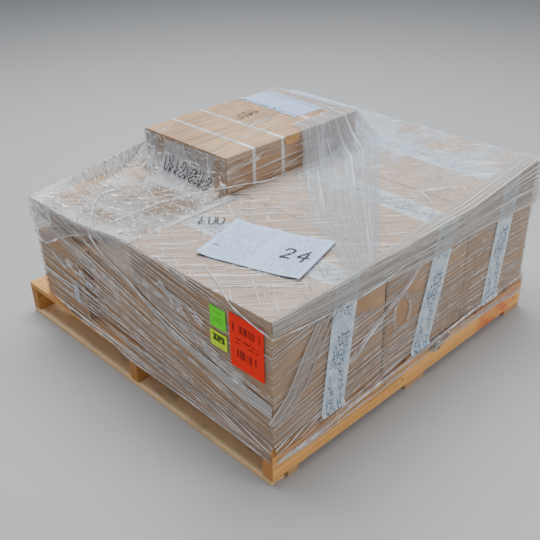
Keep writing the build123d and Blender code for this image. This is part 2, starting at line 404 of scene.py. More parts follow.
def timberFinish(node, along, seed, dirt=0.3, tint=1.0, bleach=0.0):
    settings = timberSettings
    heart = settings["heart"]
    low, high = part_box(node)
    finish = Finish(node)
    x, y, z = finish.parts(finish.place())
    length, across = (y, x) if along == "y" else (x, y)
    ends = (low.y, high.y) if along == "y" else (low.x, high.x)
    shift = seed * 7.31
    grain = finish.join(length * settings["stretch"] + shift, across, z)
    wander = finish.noise(grain, 9, 3) - 0.5
    radius = finish.length(across + heart[0] + wander * 0.05, z + heart[1] + wander * 0.03)
    rings = (radius * settings["ringsPerMetre"] + wander * 2.4).fraction()
    late = rings.ramp(0.35, 0.95) * (1 - rings.ramp(0.95, 1.0))
    fibres = finish.noise(finish.join(length * 2.2 + shift, across * 95, z * 95), 4, 4, 0.7)
    board = finish.blend(late * 0.75, settings["early"], settings["late"])
    board = finish.blend(fibres.ramp(0.35, 0.75) * 0.35, board, settings["fibre"])
    knotPlace = finish.join(length * 0.55 + shift, across * 1.6, z * 1.6)
    knots = 1 - finish.cells(knotPlace, 3.1).ramp(0.02, 0.06)
    for knotLength, knotRise, size in settings["knots"].get(node, ()):
        away = finish.length((length - (cornerX + knotLength * mm)) * 0.8,
                             (z - knotRise * mm) * 1.3, wander * 0.01)
        knots = knots.high(1 - away.ramp(size * 0.5 * mm, size * mm))
    board = finish.blend(bleach, board, settings["bleached"])
    board = finish.blend(knots * 0.85, board, settings["knot"])
    toEnd = (length - ends[0]).low(ends[1] - length)
    cut = 1 - toEnd.ramp(0.0006, 0.0012)
    board = finish.blend(cut * 0.55, board, settings["endGrain"])
    stains = finish.noise(finish.join(length + shift, across * 2, z * 2), 7, 5, 0.65)
    board = finish.blend(stains.ramp(0.50, 0.72) * dirt, board, settings["dirt"])
    scrapes = finish.noise(finish.join(length * 6 + shift, across * 120, z * 120), 1, 3, 0.7)
    board = finish.blend(scrapes.ramp(0.62, 0.70) * dirt, board, settings["dirt"])
    if node == "stringer_right":
        # a smear of red paint near the far end
        smear = finish.noise(finish.join(x * 9, y * 9, z * 22), 1, 4, 0.65).ramp(0.36, 0.52)
        spread = x.ramp(0.30, 0.37) * (1 - x.ramp(0.54, 0.57)) * (1 - z.ramp(0.070, 0.095))
        board = finish.blend(smear * spread * 0.7, board, settings["redPaint"])
    board = finish.blend(1.0, board, colour(tint, tint * 0.96, tint * 0.86), "MULTIPLY")
    if node.startswith("bottom_board"):
        # painted light on the upper faces only
        paintedTopLight = z.ramp(high.z - 0.0008, high.z - 0.0004)
        board = finish.blend(paintedTopLight, board, settings["topFaceLight"], "MULTIPLY")
    finish.set(Base_Color=board, Roughness=0.72 + fibres * 0.15)
    finish.bump(late * 0.3 + fibres * 0.7, 0.35, 0.0012)
    return finish.material


def dressPallet():
    for number, node in enumerate(nodesNamed("deck_board")):
        dress(node, timberFinish(node, "y", number + 1, tint=1.0 + 0.10 * math.sin(number * 2.3)))
    for number, node in enumerate(nodesNamed("bottom_board")):
        dress(node, timberFinish(node, "y", number + 11, dirt=0.45, bleach=0.65))
    for number, node in enumerate(nodesNamed("stringer")):
        tint = 1.2 if node == "stringer_right" else 1.0
        dress(node, timberFinish(node, "x", number + 21, tint=tint))
    makeNails()
    print("pallet dressed")


nailSettings = {
    "rows": (17.5, 582.5, 1147.5),      # y of each stringer's middle
    "shares": (0.22, 0.5, 0.78),        # across each deck board
    "radius": 3.2, "topRadius": 2.9, "depth": 0.5,
    "strayX": 4, "strayY": 5,
    "steel": (0.30, 0.29, 0.28, 1), "rust": (0.20, 0.09, 0.04, 1),
}


def makeNails():
    settings = nailSettings
    strayX, strayY = settings["strayX"], settings["strayY"]
    bm = bmesh.new()
    for node in nodes:
        if not node.startswith("deck_board"):
            continue
        low, high = boxInMm(node)
        for y in settings["rows"]:
            for share in settings["shares"]:
                x = mix(low[0], high[0], share) + dice.uniform(-strayX, strayX)
                place = at(x, y + dice.uniform(-strayY, strayY), high[2] + 0.2)
                bmesh.ops.create_cone(
                    bm, cap_ends=True, segments=10, radius1=settings["radius"] * mm,
                    radius2=settings["topRadius"] * mm, depth=settings["depth"] * mm,
                    matrix=Matrix.Translation(place))
    finishPiece("nails", bm, nailFinish(), "pallet_timber", smooth=False)


def nailFinish():
    finish = Finish("nailSteel")
    rust = finish.noise(finish.place(), 160, 3).ramp(0.45, 0.6)
    finish.set(Base_Color=finish.blend(rust, nailSettings["steel"], nailSettings["rust"]),
               Metallic=0.7 - rust * 0.5, Roughness=0.5)
    return finish.material


# Cartons

cartonSettings = {
    "board": (0.40, 0.235, 0.125, 1),
    "pale": (0.52, 0.335, 0.195, 1),
    "worn": (0.62, 0.46, 0.31, 1),
    "fleck": (0.28, 0.175, 0.10, 1),
    "flutePitch": 0.0078,
    "wornEdge": 0.006,
}


def cartonFinish(node, seed):
    settings = cartonSettings
    finish = Finish(node)
    x, y, z = finish.parts(finish.place())
    toX, toY, toZ = [(part - a).low(b - part).high(0) for part, a, b in zip((x, y, z), *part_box(node))]
    edge = toX.low(toY).high(toX.high(toY).low(toZ))       # distance to the nearest edge
    moved = finish.join(x + seed * 3.7, y, z)
    blotch = finish.noise(moved, 5, 4, 0.6)
    speck = finish.noise(moved, 420, 2, 0.7)
    fibre = finish.noise(finish.join(x * 60 + seed, y * 60, z * 700), 1, 3, 0.6)
    shade = finish.blend(blotch.ramp(0.35, 0.7), settings["board"], settings["pale"])
    shade = finish.blend(speck.ramp(0.55, 0.75) * 0.25, shade, settings["fleck"])
    atEdge = 1 - edge.ramp(0.0, settings["wornEdge"])
    wear = atEdge * finish.noise(moved, 40, 4, 0.7).ramp(0.42, 0.62)
    shade = finish.blend(wear * 0.7, shade, settings["worn"])
    scuff = finish.noise(moved, 22, 6, 0.75).ramp(0.66, 0.72)
    shade = finish.blend(scuff * 0.25, shade, settings["worn"])
    finish.set(Base_Color=shade, Roughness=0.85)
    ridge = abs((z / settings["flutePitch"]).fraction() - 0.5)
    dents = finish.noise(moved, 14, 3, 0.6)
    finish.bump(ridge * 0.10 + dents * 1.2 + fibre * 0.08, 0.4, 0.004)
    return finish.material


def dressCartons():
    for number, node in enumerate(nodesNamed("carton")):
        dress(node, cartonFinish(node, number + 1))
    print("cartons dressed")


# Tape, straps and papers

tapeSettings = {
    # each tape's middle, along x, at its foot, at the cartons' top edge and at its back end
    "middles": {
        "tape_near": (219, 264, 224),
        "tape_middle": (592, 684, 698),
        "tape_far": (956, 1006, 1003),
    },
    "footHeight": 116,
    "wave": 0.35,
    "milky": ((0.60, 0.77, 0.93, 1), (0.82, 0.94, 1.0, 1)),
    "fleck": (0.025, 0.07, 0.17, 1),
    "roughness": 0.22,
}


def makeTapes():
    settings = tapeSettings
    material = tapeFinish()
    for node, (foot, brink, back) in settings["middles"].items():
        low, high = boxInMm(node)
        width = high[0] - low[0]
        face = rightY - 2.2
        footZ = settings["footHeight"]
        drop = nearHigh[2] - footZ
        length = drop + high[1] - face
        share = drop / length

        def placeOf(u, v):
            wave = settings["wave"] * abs(noise.noise(Vector((u * 3, v * 12, foot))))
            if v < share:
                t = v / share
                x = mix(foot, brink, t) + (u - 0.5) * width
                z = mix(footZ, nearHigh[2] + coverRise(x) + 0.3, t)
                return at(x, face - wave - hangOut(z), z)
            t = (v - share) / (1 - share)
            x = mix(brink, back, t) + (u - 0.5) * width
            return at(x, mix(face, high[1], t), nearHigh[2] + coverRise(x) + 0.3 + wave)

        bm = newSheet()
        addGrid(bm, 16, 90, placeOf, (width * mm, length * mm))
        name = "packingTape" + node.split("_")[1].capitalize()
        finishPiece(name, bm, material, "packing_tape", node)
    print("tapes made")


def tapeFinish():
    settings = tapeSettings
    finish = Finish("packingTape")
    across, run = ownCourse(finish)
    haze = finish.noise(finish.place(), 45, 4, 0.6)
    marks = finish.noise(finish.join(across * 190, run * 120, 1.0), 1, 2.5, 0.7).ramp(0.505, 0.545)
    clusters = finish.noise(finish.join(across * 34, run * 14, 3.0), 1, 2).ramp(0.42, 0.48)
    flecks = marks * clusters * (1 - abs(across - 0.044).ramp(0.028, 0.034))     # margins stay clear
    milky = finish.blend(haze.ramp(0.35, 0.7), *settings["milky"])
    finish.set(Base_Color=finish.blend(flecks, milky, settings["fleck"]),
               Roughness=settings["roughness"],
               Alpha=(0.54 + haze * 0.36).high(flecks * 0.9).low(1.0))
    finish.bump(haze, 0.25, 0.003)
    return finish.material


strapSettings = {
    "shades": ((0.66, 0.70, 0.74, 1), (0.86, 0.88, 0.90, 1)),
    "roughness": 0.35,
    "ribsPerMetre": 260,
}


def strapFinish():
    settings = strapSettings
    finish = Finish("strapPlastic")
    x, y, z = finish.parts(finish.place())
    weave = finish.noise(finish.join(x * 900, y * 300, z * 300), 1, 2)
    shade = finish.blend(weave.ramp(0.3, 0.7), *settings["shades"])
    finish.set(Base_Color=shade, Roughness=settings["roughness"])
    ribs = settings["ribsPerMetre"]
    cross = abs(((y + z + x) * ribs).fraction() - 0.5) + abs(((y + z - x) * ribs).fraction() - 0.5)
    finish.bump(cross, 0.4, 0.0006)
    return finish.material


def printedRows(finish, u, v, rowPitch, wordLength, fill):
    # rows of small generic bars, as a page of print looks from afar
    row = between((v / rowPitch).fraction(), 0.45, 0.85, 0.05)
    rowNumber = (v / rowPitch).floor()
    words = finish.noise(finish.join(u / wordLength, rowNumber * 9.7, 0.5), 1, 1)
    return row * words.ramp(1 - fill, 1.03 - fill)


def between(value, low, high, soft):
    # 1 from low to high, with soft ends
    return value.ramp(low, low + soft) * (1 - value.ramp(high - soft, high))


sheetSettings = {
    "length": 297.0, "width": 210.0, "corner": (178.0, 80.0), "turn": 16.9,
    "curl": 9.0,
    "wave": 2.4,
    "rowPitch": 0.0066, "wordLength": 0.016, "fill": 0.55,
    # print, along and across the sheet in metres
    "printed": ((0.012, 0.284), (0.012, 0.196)),
    "clearBand": (0.118, 0.162),
    "block": ((0.262, 0.282), (0.055, 0.067)),
    "paper": ((0.42, 0.54, 0.78, 1), (0.53, 0.65, 0.87, 1)),
    "print": (0.20, 0.23, 0.31, 1),
    "blockInk": (0.16, 0.18, 0.22, 1),
    # a plain number written by hand: each digit's start along the sheet, and its strokes
    "digits": {
        0.33: [[(0.0, 0.75), (0.25, 1.0), (0.75, 0.95), (0.75, 0.6), (0.1, 0.0), (0.5, 0.06),
                (0.95, 0.0)]],
        0.18: [[(0.7, 1.05), (0.35, 0.7), (0.0, 0.35), (0.5, 0.34), (1.05, 0.4)],
               [(0.72, 0.8), (0.66, 0.35), (0.62, -0.15)]],
    },
    "digitSize": (0.10, 0.24),
    "digitsUp": 0.38,
    "pen": 0.0078,
}


def paperFinish():
    settings = sheetSettings
    finish = Finish("printedPaper")
    place = finish.place()
    corner = at(*settings["corner"], 0)
    turn = math.radians(settings["turn"])
    alongWay = Vector((-math.sin(turn), math.cos(turn), 0))
    acrossWay = Vector((math.cos(turn), math.sin(turn), 0))
    along = finish.dot(place, alongWay) - alongWay.xy.dot(corner.xy)
    across = finish.dot(place, acrossWay) - acrossWay.xy.dot(corner.xy)

    def within(spans):
        return between(along, *spans[0], 0.001) * between(across, *spans[1], 0.001)

    body = printedRows(finish, across, along, settings["rowPitch"], settings["wordLength"],
                       settings["fill"])
    gap = between(along, *settings["clearBand"], 0.002)
    printed = body * within(settings["printed"]) * (1 - gap)
    paper = finish.blend(finish.noise(place, 30, 3) * 0.25, *settings["paper"])
    shade = finish.blend(printed * 0.85, paper, settings["print"])
    shade = finish.blend(within(settings["block"]) * 0.8, shade, settings["blockInk"])
    finish.set(Base_Color=shade, Roughness=0.6)
    finish.bump(finish.noise(place, 12, 3), 0.3, 0.004)
    return finish.material


def makePaperSheet(ink):
    settings = sheetSettings
    turn = math.radians(settings["turn"])
    corner = settings["corner"]

    def onSheet(u, v, lift=0.0):
        along = u * settings["length"]
        across = v * settings["width"]
        x = corner[0] + across * math.cos(turn) - along * math.sin(turn)
        y = corner[1] + across * math.sin(turn) + along * math.cos(turn)
        wave = settings["wave"] * math.sin(along * 0.021 + 0.6) * math.sin(across * 0.017 + 0.4)
        ends = settings["curl"] * (smoothStep(0.80, 1.0, u) + 0.8 * smoothStep(0.22, 0.0, u))
        ends *= 0.45 + 0.55 * abs(v - 0.35)
        return at(x, y, levelZ + 2.6 + abs(wave) + ends + lift)

    bm = bmesh.new()
    addGrid(bm, 44, 32, onSheet)
    bmesh.ops.solidify(bm, geom=bm.faces[:], thickness=0.3 * mm)
    finishPiece("paperSheet", bm, paperFinish(), "sheet_paper", "paper_sheet")
    bm = bmesh.new()
    wide, tall = settings["digitSize"]
    for start, strokes in settings["digits"].items():
        for stroke in strokes:
            points = [(start - x * wide, settings["digitsUp"] + y * tall) for x, y in stroke]
            addInk(bm, points, onSheet, settings["pen"])
    finishPiece("sheetNumber", bm, ink, "sheet_paper")


inkLift = 1.2       # how far pen strokes stand off the film


def addInk(bm, points, surface, width):
    # a pen stroke that lies on a surface given by u and v
    flat = smoothCurve([(u, v, 0) for u, v in points], len(points) * 6)
    places = [surface(p.x, p.y, inkLift) for p in flat]

    def placeOf(u, v):
        spot = u * (len(places) - 1)
        k = min(int(spot), len(places) - 2)
        middle = places[k].lerp(places[k + 1], spot - k)
        ahead = (places[k + 1] - places[k]).normalized()
        aside = ahead.cross(surfaceNormal(surface, flat[k]))
        pen = width * (0.75 + 0.35 * math.sin(spot * 1.7))
        return middle + aside * (v - 0.5) * pen

    addGrid(bm, len(places) - 1, 1, placeOf)


def surfaceNormal(surface, spot):
    # places are in mm on the cartons, in shares of the whole on the sheet
    step = 5 if spot.length > 10 else 0.004
    here = surface(spot.x, spot.y, 0)
    return (surface(spot.x + step, spot.y, 0) - here).cross(
        surface(spot.x, spot.y + step, 0) - here).normalized()


penSettings = {
    # surface: start, way along the row, how many, size, pen, which way is up
    "end": ((848, 506), (-27, -0.4), 9, 38, 0.0050, -1),
    "top": ((640, 790), (25, 4), 4, 36, 0.0042, 1),
    "near": ((206, 500), (16, -22), 3, 42, 0.0046, 1),
    # illegible strokes, each a curve from 0 to 1 along the row and upwards
    "strokes": {
        "loop": ((0.1, 0.5), (0.4, 1.0), (0.8, 0.8), (0.5, 0.3), (0.1, 0.1), (0.4, -0.1), (0.9, 0.2)),
        "hook": ((0.1, 0.9), (0.3, 0.1), (0.7, 0.0), (0.8, 0.6), (0.6, 1.0)),
        "bar": ((0.3, 1.1), (0.35, 0.5), (0.2, -0.1), (0.7, 0.4)),
    },
}


def makePenMarks(ink):
    def onEnd(u, v, lift=0.0):
        share = (u - nearHigh[1]) / (wrapHigh[1] - nearHigh[1])
        low, high = 0.0, 1.0
        for _ in range(22):         # halves the span that holds this height
            half = (low + high) / 2
            if tentPlace(share, half).z < v * mm:
                low = half
            else:
                high = half
        return tentPlace(share, high) + Vector((-(6.5 + lift) * mm, 0, 1.5 * mm))

    def onTop(u, v, lift=0.0):
        return at(u, v, topHigh[2] + 1.3 + lift)

    def onNear(u, v, lift=0.0):
        return at(u, v, levelZ + 2.0 + lift)

    bm = bmesh.new()
    for key, surface in (("end", onEnd), ("top", onTop), ("near", onNear)):
        start, step, count, size, pen, upward = penSettings[key]
        spot, ahead = Vector(start), Vector(step)
        across = Vector((-step[1], step[0])).normalized() * upward
        for _ in range(count):
            tall = size * dice.uniform(0.7, 1.15)
            shape = penSettings["strokes"][dice.choice(("loop", "hook", "bar"))]
            points = [(spot + ahead * (along * 1.1) + across * (up * tall))[:] for along, up in shape]
            addInk(bm, points, surface, pen)
            spot = spot + ahead * dice.uniform(0.8, 1.1)
    finishPiece("penMarks", bm, ink, "carton_board")


patchSettings = {
    # name: low shade, high shade, alpha
    "patchPaper": ((0.62, 0.66, 0.72, 1), (0.80, 0.84, 0.90, 1), 0.42),
    "tornBoard": ((0.44, 0.22, 0.06, 1), (0.56, 0.31, 0.11, 1), 1.0),
    "tornCorner": ((0.20, 0.09, 0.035, 1), (0.30, 0.15, 0.06, 1), 1.0),
    # torn spots and a scrap: finish, slot, outward axis, plane, outline in that plane
    "flat": {
        "tornCornerPatch": ("tornCorner", "carton_board", 0, topLow[0] - 1.0,
                            ((960, 578), (955, 599), (898, 598), (915, 586))),
        "tornEdgePatch": ("tornBoard", "carton_board", 1, topLow[1] - 5.2,
                          ((628, 578), (626, 597), (655, 600), (688, 599), (689, 584), (660, 574))),
        "seamScrap": ("patchPaper", "packing_tape", 0, leftX - 2.0,
                      ((842, 162), (846, 228), (876, 226), (870, 166))),
        "tornStackPatch": ("tornBoard", "carton_board", 0, leftX - 2.0,
                           ((897, 272), (834, 292), (838, 250))),
    },
    "thickness": 0.4,
    # pale labels on the top carton's left end: near side, far side, foot
    "pale": {"patchWide": (720, 862, 0.66), "patchNarrow": (905, 921, 0.72)},
}


def makePatches():
    settings = patchSettings
    finishes = {name: patchFinish(name) for name in ("patchPaper", "tornBoard", "tornCorner")}
    for name, (finish, slot, axis, plane, outline) in settings["flat"].items():
        bm = bmesh.new()
        corners = [at(plane, a, z) if axis == 0 else at(a, plane, z) for a, z in outline]
        verts = [bmesh.ops.create_vert(bm, co=corner)["vert"][0] for corner in corners]
        bmesh.ops.contextual_create(bm, geom=verts)
        raised = bmesh.ops.extrude_face_region(bm, geom=bm.faces[:], use_keep_orig=True)["geom"]
        outward = Vector((0, 0, 0))
        outward[axis] = -settings["thickness"] * mm
        moved = [part for part in raised if isinstance(part, bmesh.types.BMVert)]
        bmesh.ops.translate(bm, verts=moved, vec=outward)
        finishPiece(name, bm, finishes[finish], slot, smooth=False)
    for name, (near, far, foot) in settings["pale"].items():

        def placeOf(u, v):
            y = mix(mix(near - 15, near + 45, v), far, u)
            share = (y - nearHigh[1]) / (wrapHigh[1] - nearHigh[1])
            return tentPlace(share, mix(foot, 0.97, v)) + Vector((-0.0024, 0, 0.0008))

        bm = bmesh.new()
        addGrid(bm, 24, 40, placeOf)
        finishPiece(name, bm, finishes["patchPaper"], "packing_tape")
    print("patches made")


def patchFinish(name):
    low, high, alpha = patchSettings[name]
    finish = Finish(name)
    fibres = finish.noise(finish.place(), 55, 4, 0.6)
    finish.set(Base_Color=finish.blend(fibres.ramp(0.35, 0.65), low, high), Roughness=0.7,
               Alpha=alpha)
    finish.bump(fibres, 0.3, 0.002)
    return finish.material


labelSettings = {
    # base, ink, and blocks of print: u from, u to, v from, v to, kind
    "label_green": ((0.13, 0.88, 0.01, 1), (0.03, 0.20, 0.02, 1), (
        (0.25, 0.75, 0.66, 0.84, "rows"), (0.15, 0.85, 0.22, 0.52, "rows"))),
    "label_yellow": ((0.66, 0.98, 0.0, 1), (0.01, 0.01, 0.01, 1), (
        (0.12, 0.88, 0.36, 0.84, "mark"), (0.20, 0.85, 0.12, 0.24, "rows"))),
    "label_red": ((1.0, 0.018, 0.0, 1), (0.17, 0.008, 0.004, 1), (
        (0.08, 0.90, 0.68, 0.85, "bars"), (0.16, 0.84, 0.44, 0.62, "rows"),
        (0.20, 0.80, 0.20, 0.38, "bars"))),
}


def labelFinish(node):
    base, ink, blocks = labelSettings[node]
    low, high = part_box(node)
    finish = Finish(node)
    y, z = finish.parts(finish.place())[1:]
    u = (high.y - y) / (high.y - low.y)      # read from left to right
    v = (z - low.z) / (high.z - low.z)
    marks = None
    for number, (fromU, toU, fromV, toV, kind) in enumerate(blocks):
        if kind == "bars":
            printed = finish.noise(finish.join(u * 26, number, 0.5), 1, 1).ramp(0.46, 0.50)
        elif kind == "rows":
            printed = printedRows(finish, u, v - fromV, 0.075, 0.07, 0.55)
        else:
            printed = finish.noise(finish.join(u * 7, v * 2.5, number), 1, 1).ramp(0.36, 0.40)
        printed = between(u, fromU, toU, 0.02) * between(v, fromV, toV, 0.02) * printed
        marks = printed if marks is None else marks.high(printed)
    grime = finish.noise(finish.place(), 60, 3)
    shade = finish.blend(grime * 0.15, base, colour(*[part * 0.8 for part in base[:3]]))
    shade = finish.blend(marks * 0.9, shade, ink)
    finish.set(Base_Color=shade, Roughness=0.5, Specular_IOR_Level=0.15)
    finish.bump(finish.noise(finish.place(), 35, 3), 0.3, 0.003)
    return finish.material


def dressSmallParts():
    strap = strapFinish()
    for node in nodesNamed("strap"):
        dress(node, strap)
    for node in labelSettings:
        dress(node, labelFinish(node))
    dress("document_pouch", pouchFinish())
    print("straps, labels and pouch dressed")


pouchSettings = {
    "shades": ((0.42, 0.56, 0.82, 1), (0.62, 0.75, 0.98, 1)),
    "print": (0.25, 0.29, 0.38, 1),
    "dash": (0.03, 0.035, 0.05, 1),
    "rowPitch": 0.0075, "wordLength": 0.02, "fill": 0.42,
    "roughness": 0.18,
    "coat": 0.4,
}


def pouchFinish():
    settings = pouchSettings
    finish = Finish("documentPouch")
    place = finish.place()
    x, y = finish.parts(place)[:2]
    rows = printedRows(finish, y, x, settings["rowPitch"], settings["wordLength"], settings["fill"])
    folds = finish.noise(place, 26, 4, 0.6)
    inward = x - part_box("document_pouch")[0].x
    dashes = finish.noise(finish.join(x * 130, y * 90, 2), 1, 2, 0.6).ramp(0.50, 0.54)
    edge = inward.ramp(0.008, 0.010) * (1 - inward.ramp(0.020, 0.023))
    shade = finish.blend(folds * 0.4, *settings["shades"])
    shade = finish.blend(rows * 0.4, shade, settings["print"])
    shade = finish.blend(dashes * edge * 0.9, shade, settings["dash"])
    finish.set(Base_Color=shade, Roughness=settings["roughness"], Coat_Weight=settings["coat"])
    finish.bump(folds, 0.5, 0.006)
    return finish.material


# Stretch film

filmSettings = {
    "clear": (0.41, 0.345, 0.295, 1),
    # painted shade beside the creases
    "troughShade": (0.075, 0.055, 0.045, 1),
    "pale": (0.56, 0.54, 0.52, 1),
    # painted highlight along the creases
    "crest": (0.95, 0.92, 0.88, 1),
    "roughness": 0.16,
    "gloss": 0.5,
}


# Each course gives the lengths along and across a set of creases.

def leftCourse(finish, x, y, z):
    # on the left front face they fan out from the near corner
    run = y - (cornerY + rightY * mm)
    fan = (z + run * 0.1125) / (run * 1.9 + 1)
    above = (z - run * 0.296).over(0.215)
    return run, fan + (z - run * 0.13 - fan) * above


def rightCourse(finish, x, y, z):
    run = x - (cornerX + leftX * mm)
    return run, z - run * 0.17 + run * run * 0.10


def levelCourse(finish, x, y, z):
    run = x + y
    return run, z - run * 0.03


def topCourse(finish, x, y, z):
    return x * 0.72 - y * 0.69, x * 0.69 + y * 0.72


def crossCourse(finish, x, y, z):
    return x * 0.55 + y * 0.83, x * 0.83 - y * 0.55


def steepCourse(finish, x, y, z):
    run = x + y
    return run + z * 0.5, z - run * 0.9


def ownCourse(finish, *place):
    # kept with the sheet's own vertices
    return tuple(finish.node("ShaderNodeAttribute", {"attribute_name": name}, out="Fac")
                 for name in ("along", "across"))


def filmFinish(name, lineSets, haze=0.12, highlightGain=0.75, bands=0.3, shadeGain=0.5, clear=None,
               troughShade=None, lit=None, milkAndPaintedLight=None, milkAndPaintedLightColour=None, fade=None, even=False):
    # each line set is course, lines per metre, stretch, width, gaps and strength; haze, clear, the milk
    # and its colour, fade and a strength may be functions of the finish. The milk is milky film on some
    # sheets, and painted light on others: a painted sky reflection on the top film and painted shade on
    # the left front face. Two gains set how opaque the painted highlights and the painted shade beside
    # them are.
    def value(given, usual=None):
        return given(finish) if callable(given) else usual if given is None else given

    finish = Finish(name)
    x, y, z = finish.parts(finish.place())
    crest = side = None
    for seed, (course, scale, stretch, width, gaps, strength) in enumerate(lineSets):
        along, across = course(finish, x, y, z)
        draw = finish.threads if even else finish.creases
        light, dark = draw(along, across, seed * 3.3 + 1, scale, stretch, width, gaps)
        strength = value(strength)
        crest = light * strength if crest is None else crest.high(light * strength)
        side = dark * strength if side is None else side.high(dark * strength)
    along, across = lineSets[0][0](finish, x, y, z)
    soft = finish.noise(finish.join(along * 1.3, across * 42, 2), 1, 1.0, 0.5)
    glow = soft.ramp(0.52, 0.66) * bands
    shade = finish.blend(glow, value(clear, filmSettings["clear"]), filmSettings["pale"])
    # painted shade beside each line, then a painted highlight along it
    shade = finish.blend(side, shade, value(troughShade, filmSettings["troughShade"]))
    shade = finish.blend(crest, shade, value(lit, filmSettings["crest"]))
    alpha = crest * highlightGain + side * shadeGain + glow * 0.35 + value(haze)
    # milky film, and on some sheets a painted sky reflection and painted shade, laid over the lines
    if milkAndPaintedLight:
        cloud = milkAndPaintedLight(finish) * (0.75 + soft * 0.5)
        shade = finish.blend(cloud * (1 - crest), shade, value(milkAndPaintedLightColour, filmSettings["pale"]))
        alpha = alpha.high(cloud)
    alpha = alpha.low(0.97).high(0.0)
    if fade:
        alpha = alpha * fade(finish)
    finish.set(Base_Color=shade, Roughness=filmSettings["roughness"], Alpha=alpha,
               Specular_IOR_Level=filmSettings["gloss"])
    finish.bump(crest + soft * 0.3, 0.7, 0.0018 if even else 0.004)
    return finish.material


def crestFinish(name, low, high, alphaLow, alphaHigh):
    # the crests of pleats and twisted strands, nearly white: the milky look of gathered film, with a
    # painted highlight along the ridges
    finish = Finish(name)
    spots = finish.noise(finish.place(), 30, 3, 0.6)
    alpha = alphaLow + spots.ramp(0.38, 0.62) * (alphaHigh - alphaLow)
    finish.set(Base_Color=finish.blend(spots.ramp(0.35, 0.65), low, high), Roughness=0.25,
               Alpha=alpha, Specular_IOR_Level=filmSettings["gloss"])
    return finish.material


def alongLine(line, u):     # the place at a share of a line, and the way it runs there
    spot = u * (len(line) - 1)
    k = min(int(spot), len(line) - 2)
    return line[k].lerp(line[k + 1], spot - k), (line[k + 1] - line[k]).normalized()


def addPleat(bm, points, width, height, outward, columns=None):
    # a long low ridge with a sharp crest, thinning out to its ends
    columns = columns or max(6, len(points) * 4)
    line = smoothCurve(points, columns)
    phase = dice.uniform(0, 6.28)

    def placeOf(u, v):
        middle, ahead = alongLine(line, u)
        aside = ahead.cross(outward).normalized()
        taper = math.sin(math.pi * min(max(u, 0.004), 0.996)) ** 0.5
        swell = taper * (0.8 + 0.3 * math.sin(u * 17 + phase))
        side, up = [(-0.5, 0), (-0.3, 1), (0.5, 0), (-0.5, 0)][int(round(v * 3))]
        return middle + aside * side * width * swell + outward * up * height * swell

    addTube(bm, columns, 3, placeOf)


def addStrand(bm, points, radius, twists, columns, flatten, outward):
    # a twisted rope of gathered film
    line = smoothCurve(points, columns)

    def placeOf(u, v):
        middle, ahead = alongLine(line, u)
        aside = ahead.cross(outward).normalized()
        up = aside.cross(ahead)
        angle = v * 2 * math.pi
        lobes = 0.72 + 0.28 * abs(math.cos(1.5 * angle + twists * u * math.pi))
        size = radius * lobes * (0.85 + 0.2 * math.sin(u * 23))
        size *= min(1, 12 * min(u, 1 - u) + 0.12)
        return middle + aside * math.cos(angle) * size + up * math.sin(angle) * size * flatten

    addTube(bm, columns, 12, placeOf)


def addBand(bm, points, outward, columns, rows):
    # a flat band of folded film; each point is a place and the band's width there, in mm
    line = smoothCurve([place for place, width in points], columns)
    widths = smoothCurve([(width, 0, 0) for place, width in points], columns)
    length = sum((b - a).length for a, b in zip(line, line[1:]))

    def placeOf(u, v):
        middle, ahead = alongLine(line, u)
        width = alongLine(widths, u)[0].x * mm
        aside = ahead.cross(outward).normalized()
        ripple = abs(noise.noise(Vector((u * 3, v * 9, length * 5)))) * 1.6
        lift = ((1 - (2 * v - 1) ** 2) + ripple * (1 - abs(2 * v - 1))) * mm
        return middle + aside * (v - 0.5) * width + outward * lift

    addGrid(bm, columns, rows, placeOf, (length, 0.05))


hemSettings = {
    # distance along the side and height, in mm
    "left": ((0, 78), (102, 86), (300, 89), (407, 91), (523, 87), (600, 88), (640, 103), (795, 108),
             (918, 113), (1020, 136), (1165, 134)),
    "right": ((0, 74), (82, 68), (216, 67), (331, 72), (480, 74), (562, 80), (760, 84), (864, 84),
              (988, 80), (1079, 70), (1165, 70)),
    "farSides": 98,
}


def lowerEdge(side, along):     # height of the side film's lower edge
    wave = 3.0 * noise.noise(Vector((along * 0.013, side * 5.0, 0))) \
        + 1.5 * noise.noise(Vector((along * 0.06, side * 5.0, 4)))
    if side > 1:
        return hemSettings["farSides"] + wave * 2
    marks = hemSettings["right" if side else "left"]
    for (a, low), (b, high) in zip(marks, marks[1:]):
        if along <= b:
            return mix(low, high, max(along - a, 0) / (b - a)) + wave
    return marks[-1][1] + wave


def coverRise(x):       # the far cartons' tops stand higher
    return max(0, x - farLow[0]) * (farHigh[2] - nearHigh[2]) / (farHigh[0] - farLow[0])


def upperEdge(x, y):        # height of the side film's upper edge
    level = levelZ + coverRise(x)
    if x < topLow[0]:
        stack = smoothStep(nearHigh[1] - 6, smallLow[1], y)
        level = mix(level, smallHigh[2] + 4, stack)
    return level


labelBoxes = [boxInMm(node) for node in nodes if node.startswith("label")]


def onLabel(y, z, margin):
    return any(low[1] - margin < y < high[1] + margin and low[2] - margin < z < high[2] + margin
               for low, high in labelBoxes)


def hangOut(z):
    # the film runs out over the edge of the deck, which stands proud of the cartons
    return 10.5 * smoothStep(deckTop + 16, deckTop - 2, z)


def farSlack(x, z):
    # slack film stands off the far cartons, which are lower than its top edge
    return 13 * smoothStep(1020, 1150, x) * math.sin(math.pi * smoothStep(330, levelZ + 48, z))


filmOpenings = {
    # on the right front face, x and z: centre, half size, squareness, slope
    "oval": ((497, 288), (29, 42), 2, 0.0),
    "slit": ((550, 347), (38, 15), 6, 0.2),
    "corner": ((362, 384), (58, 24), 6, 0.2),
}


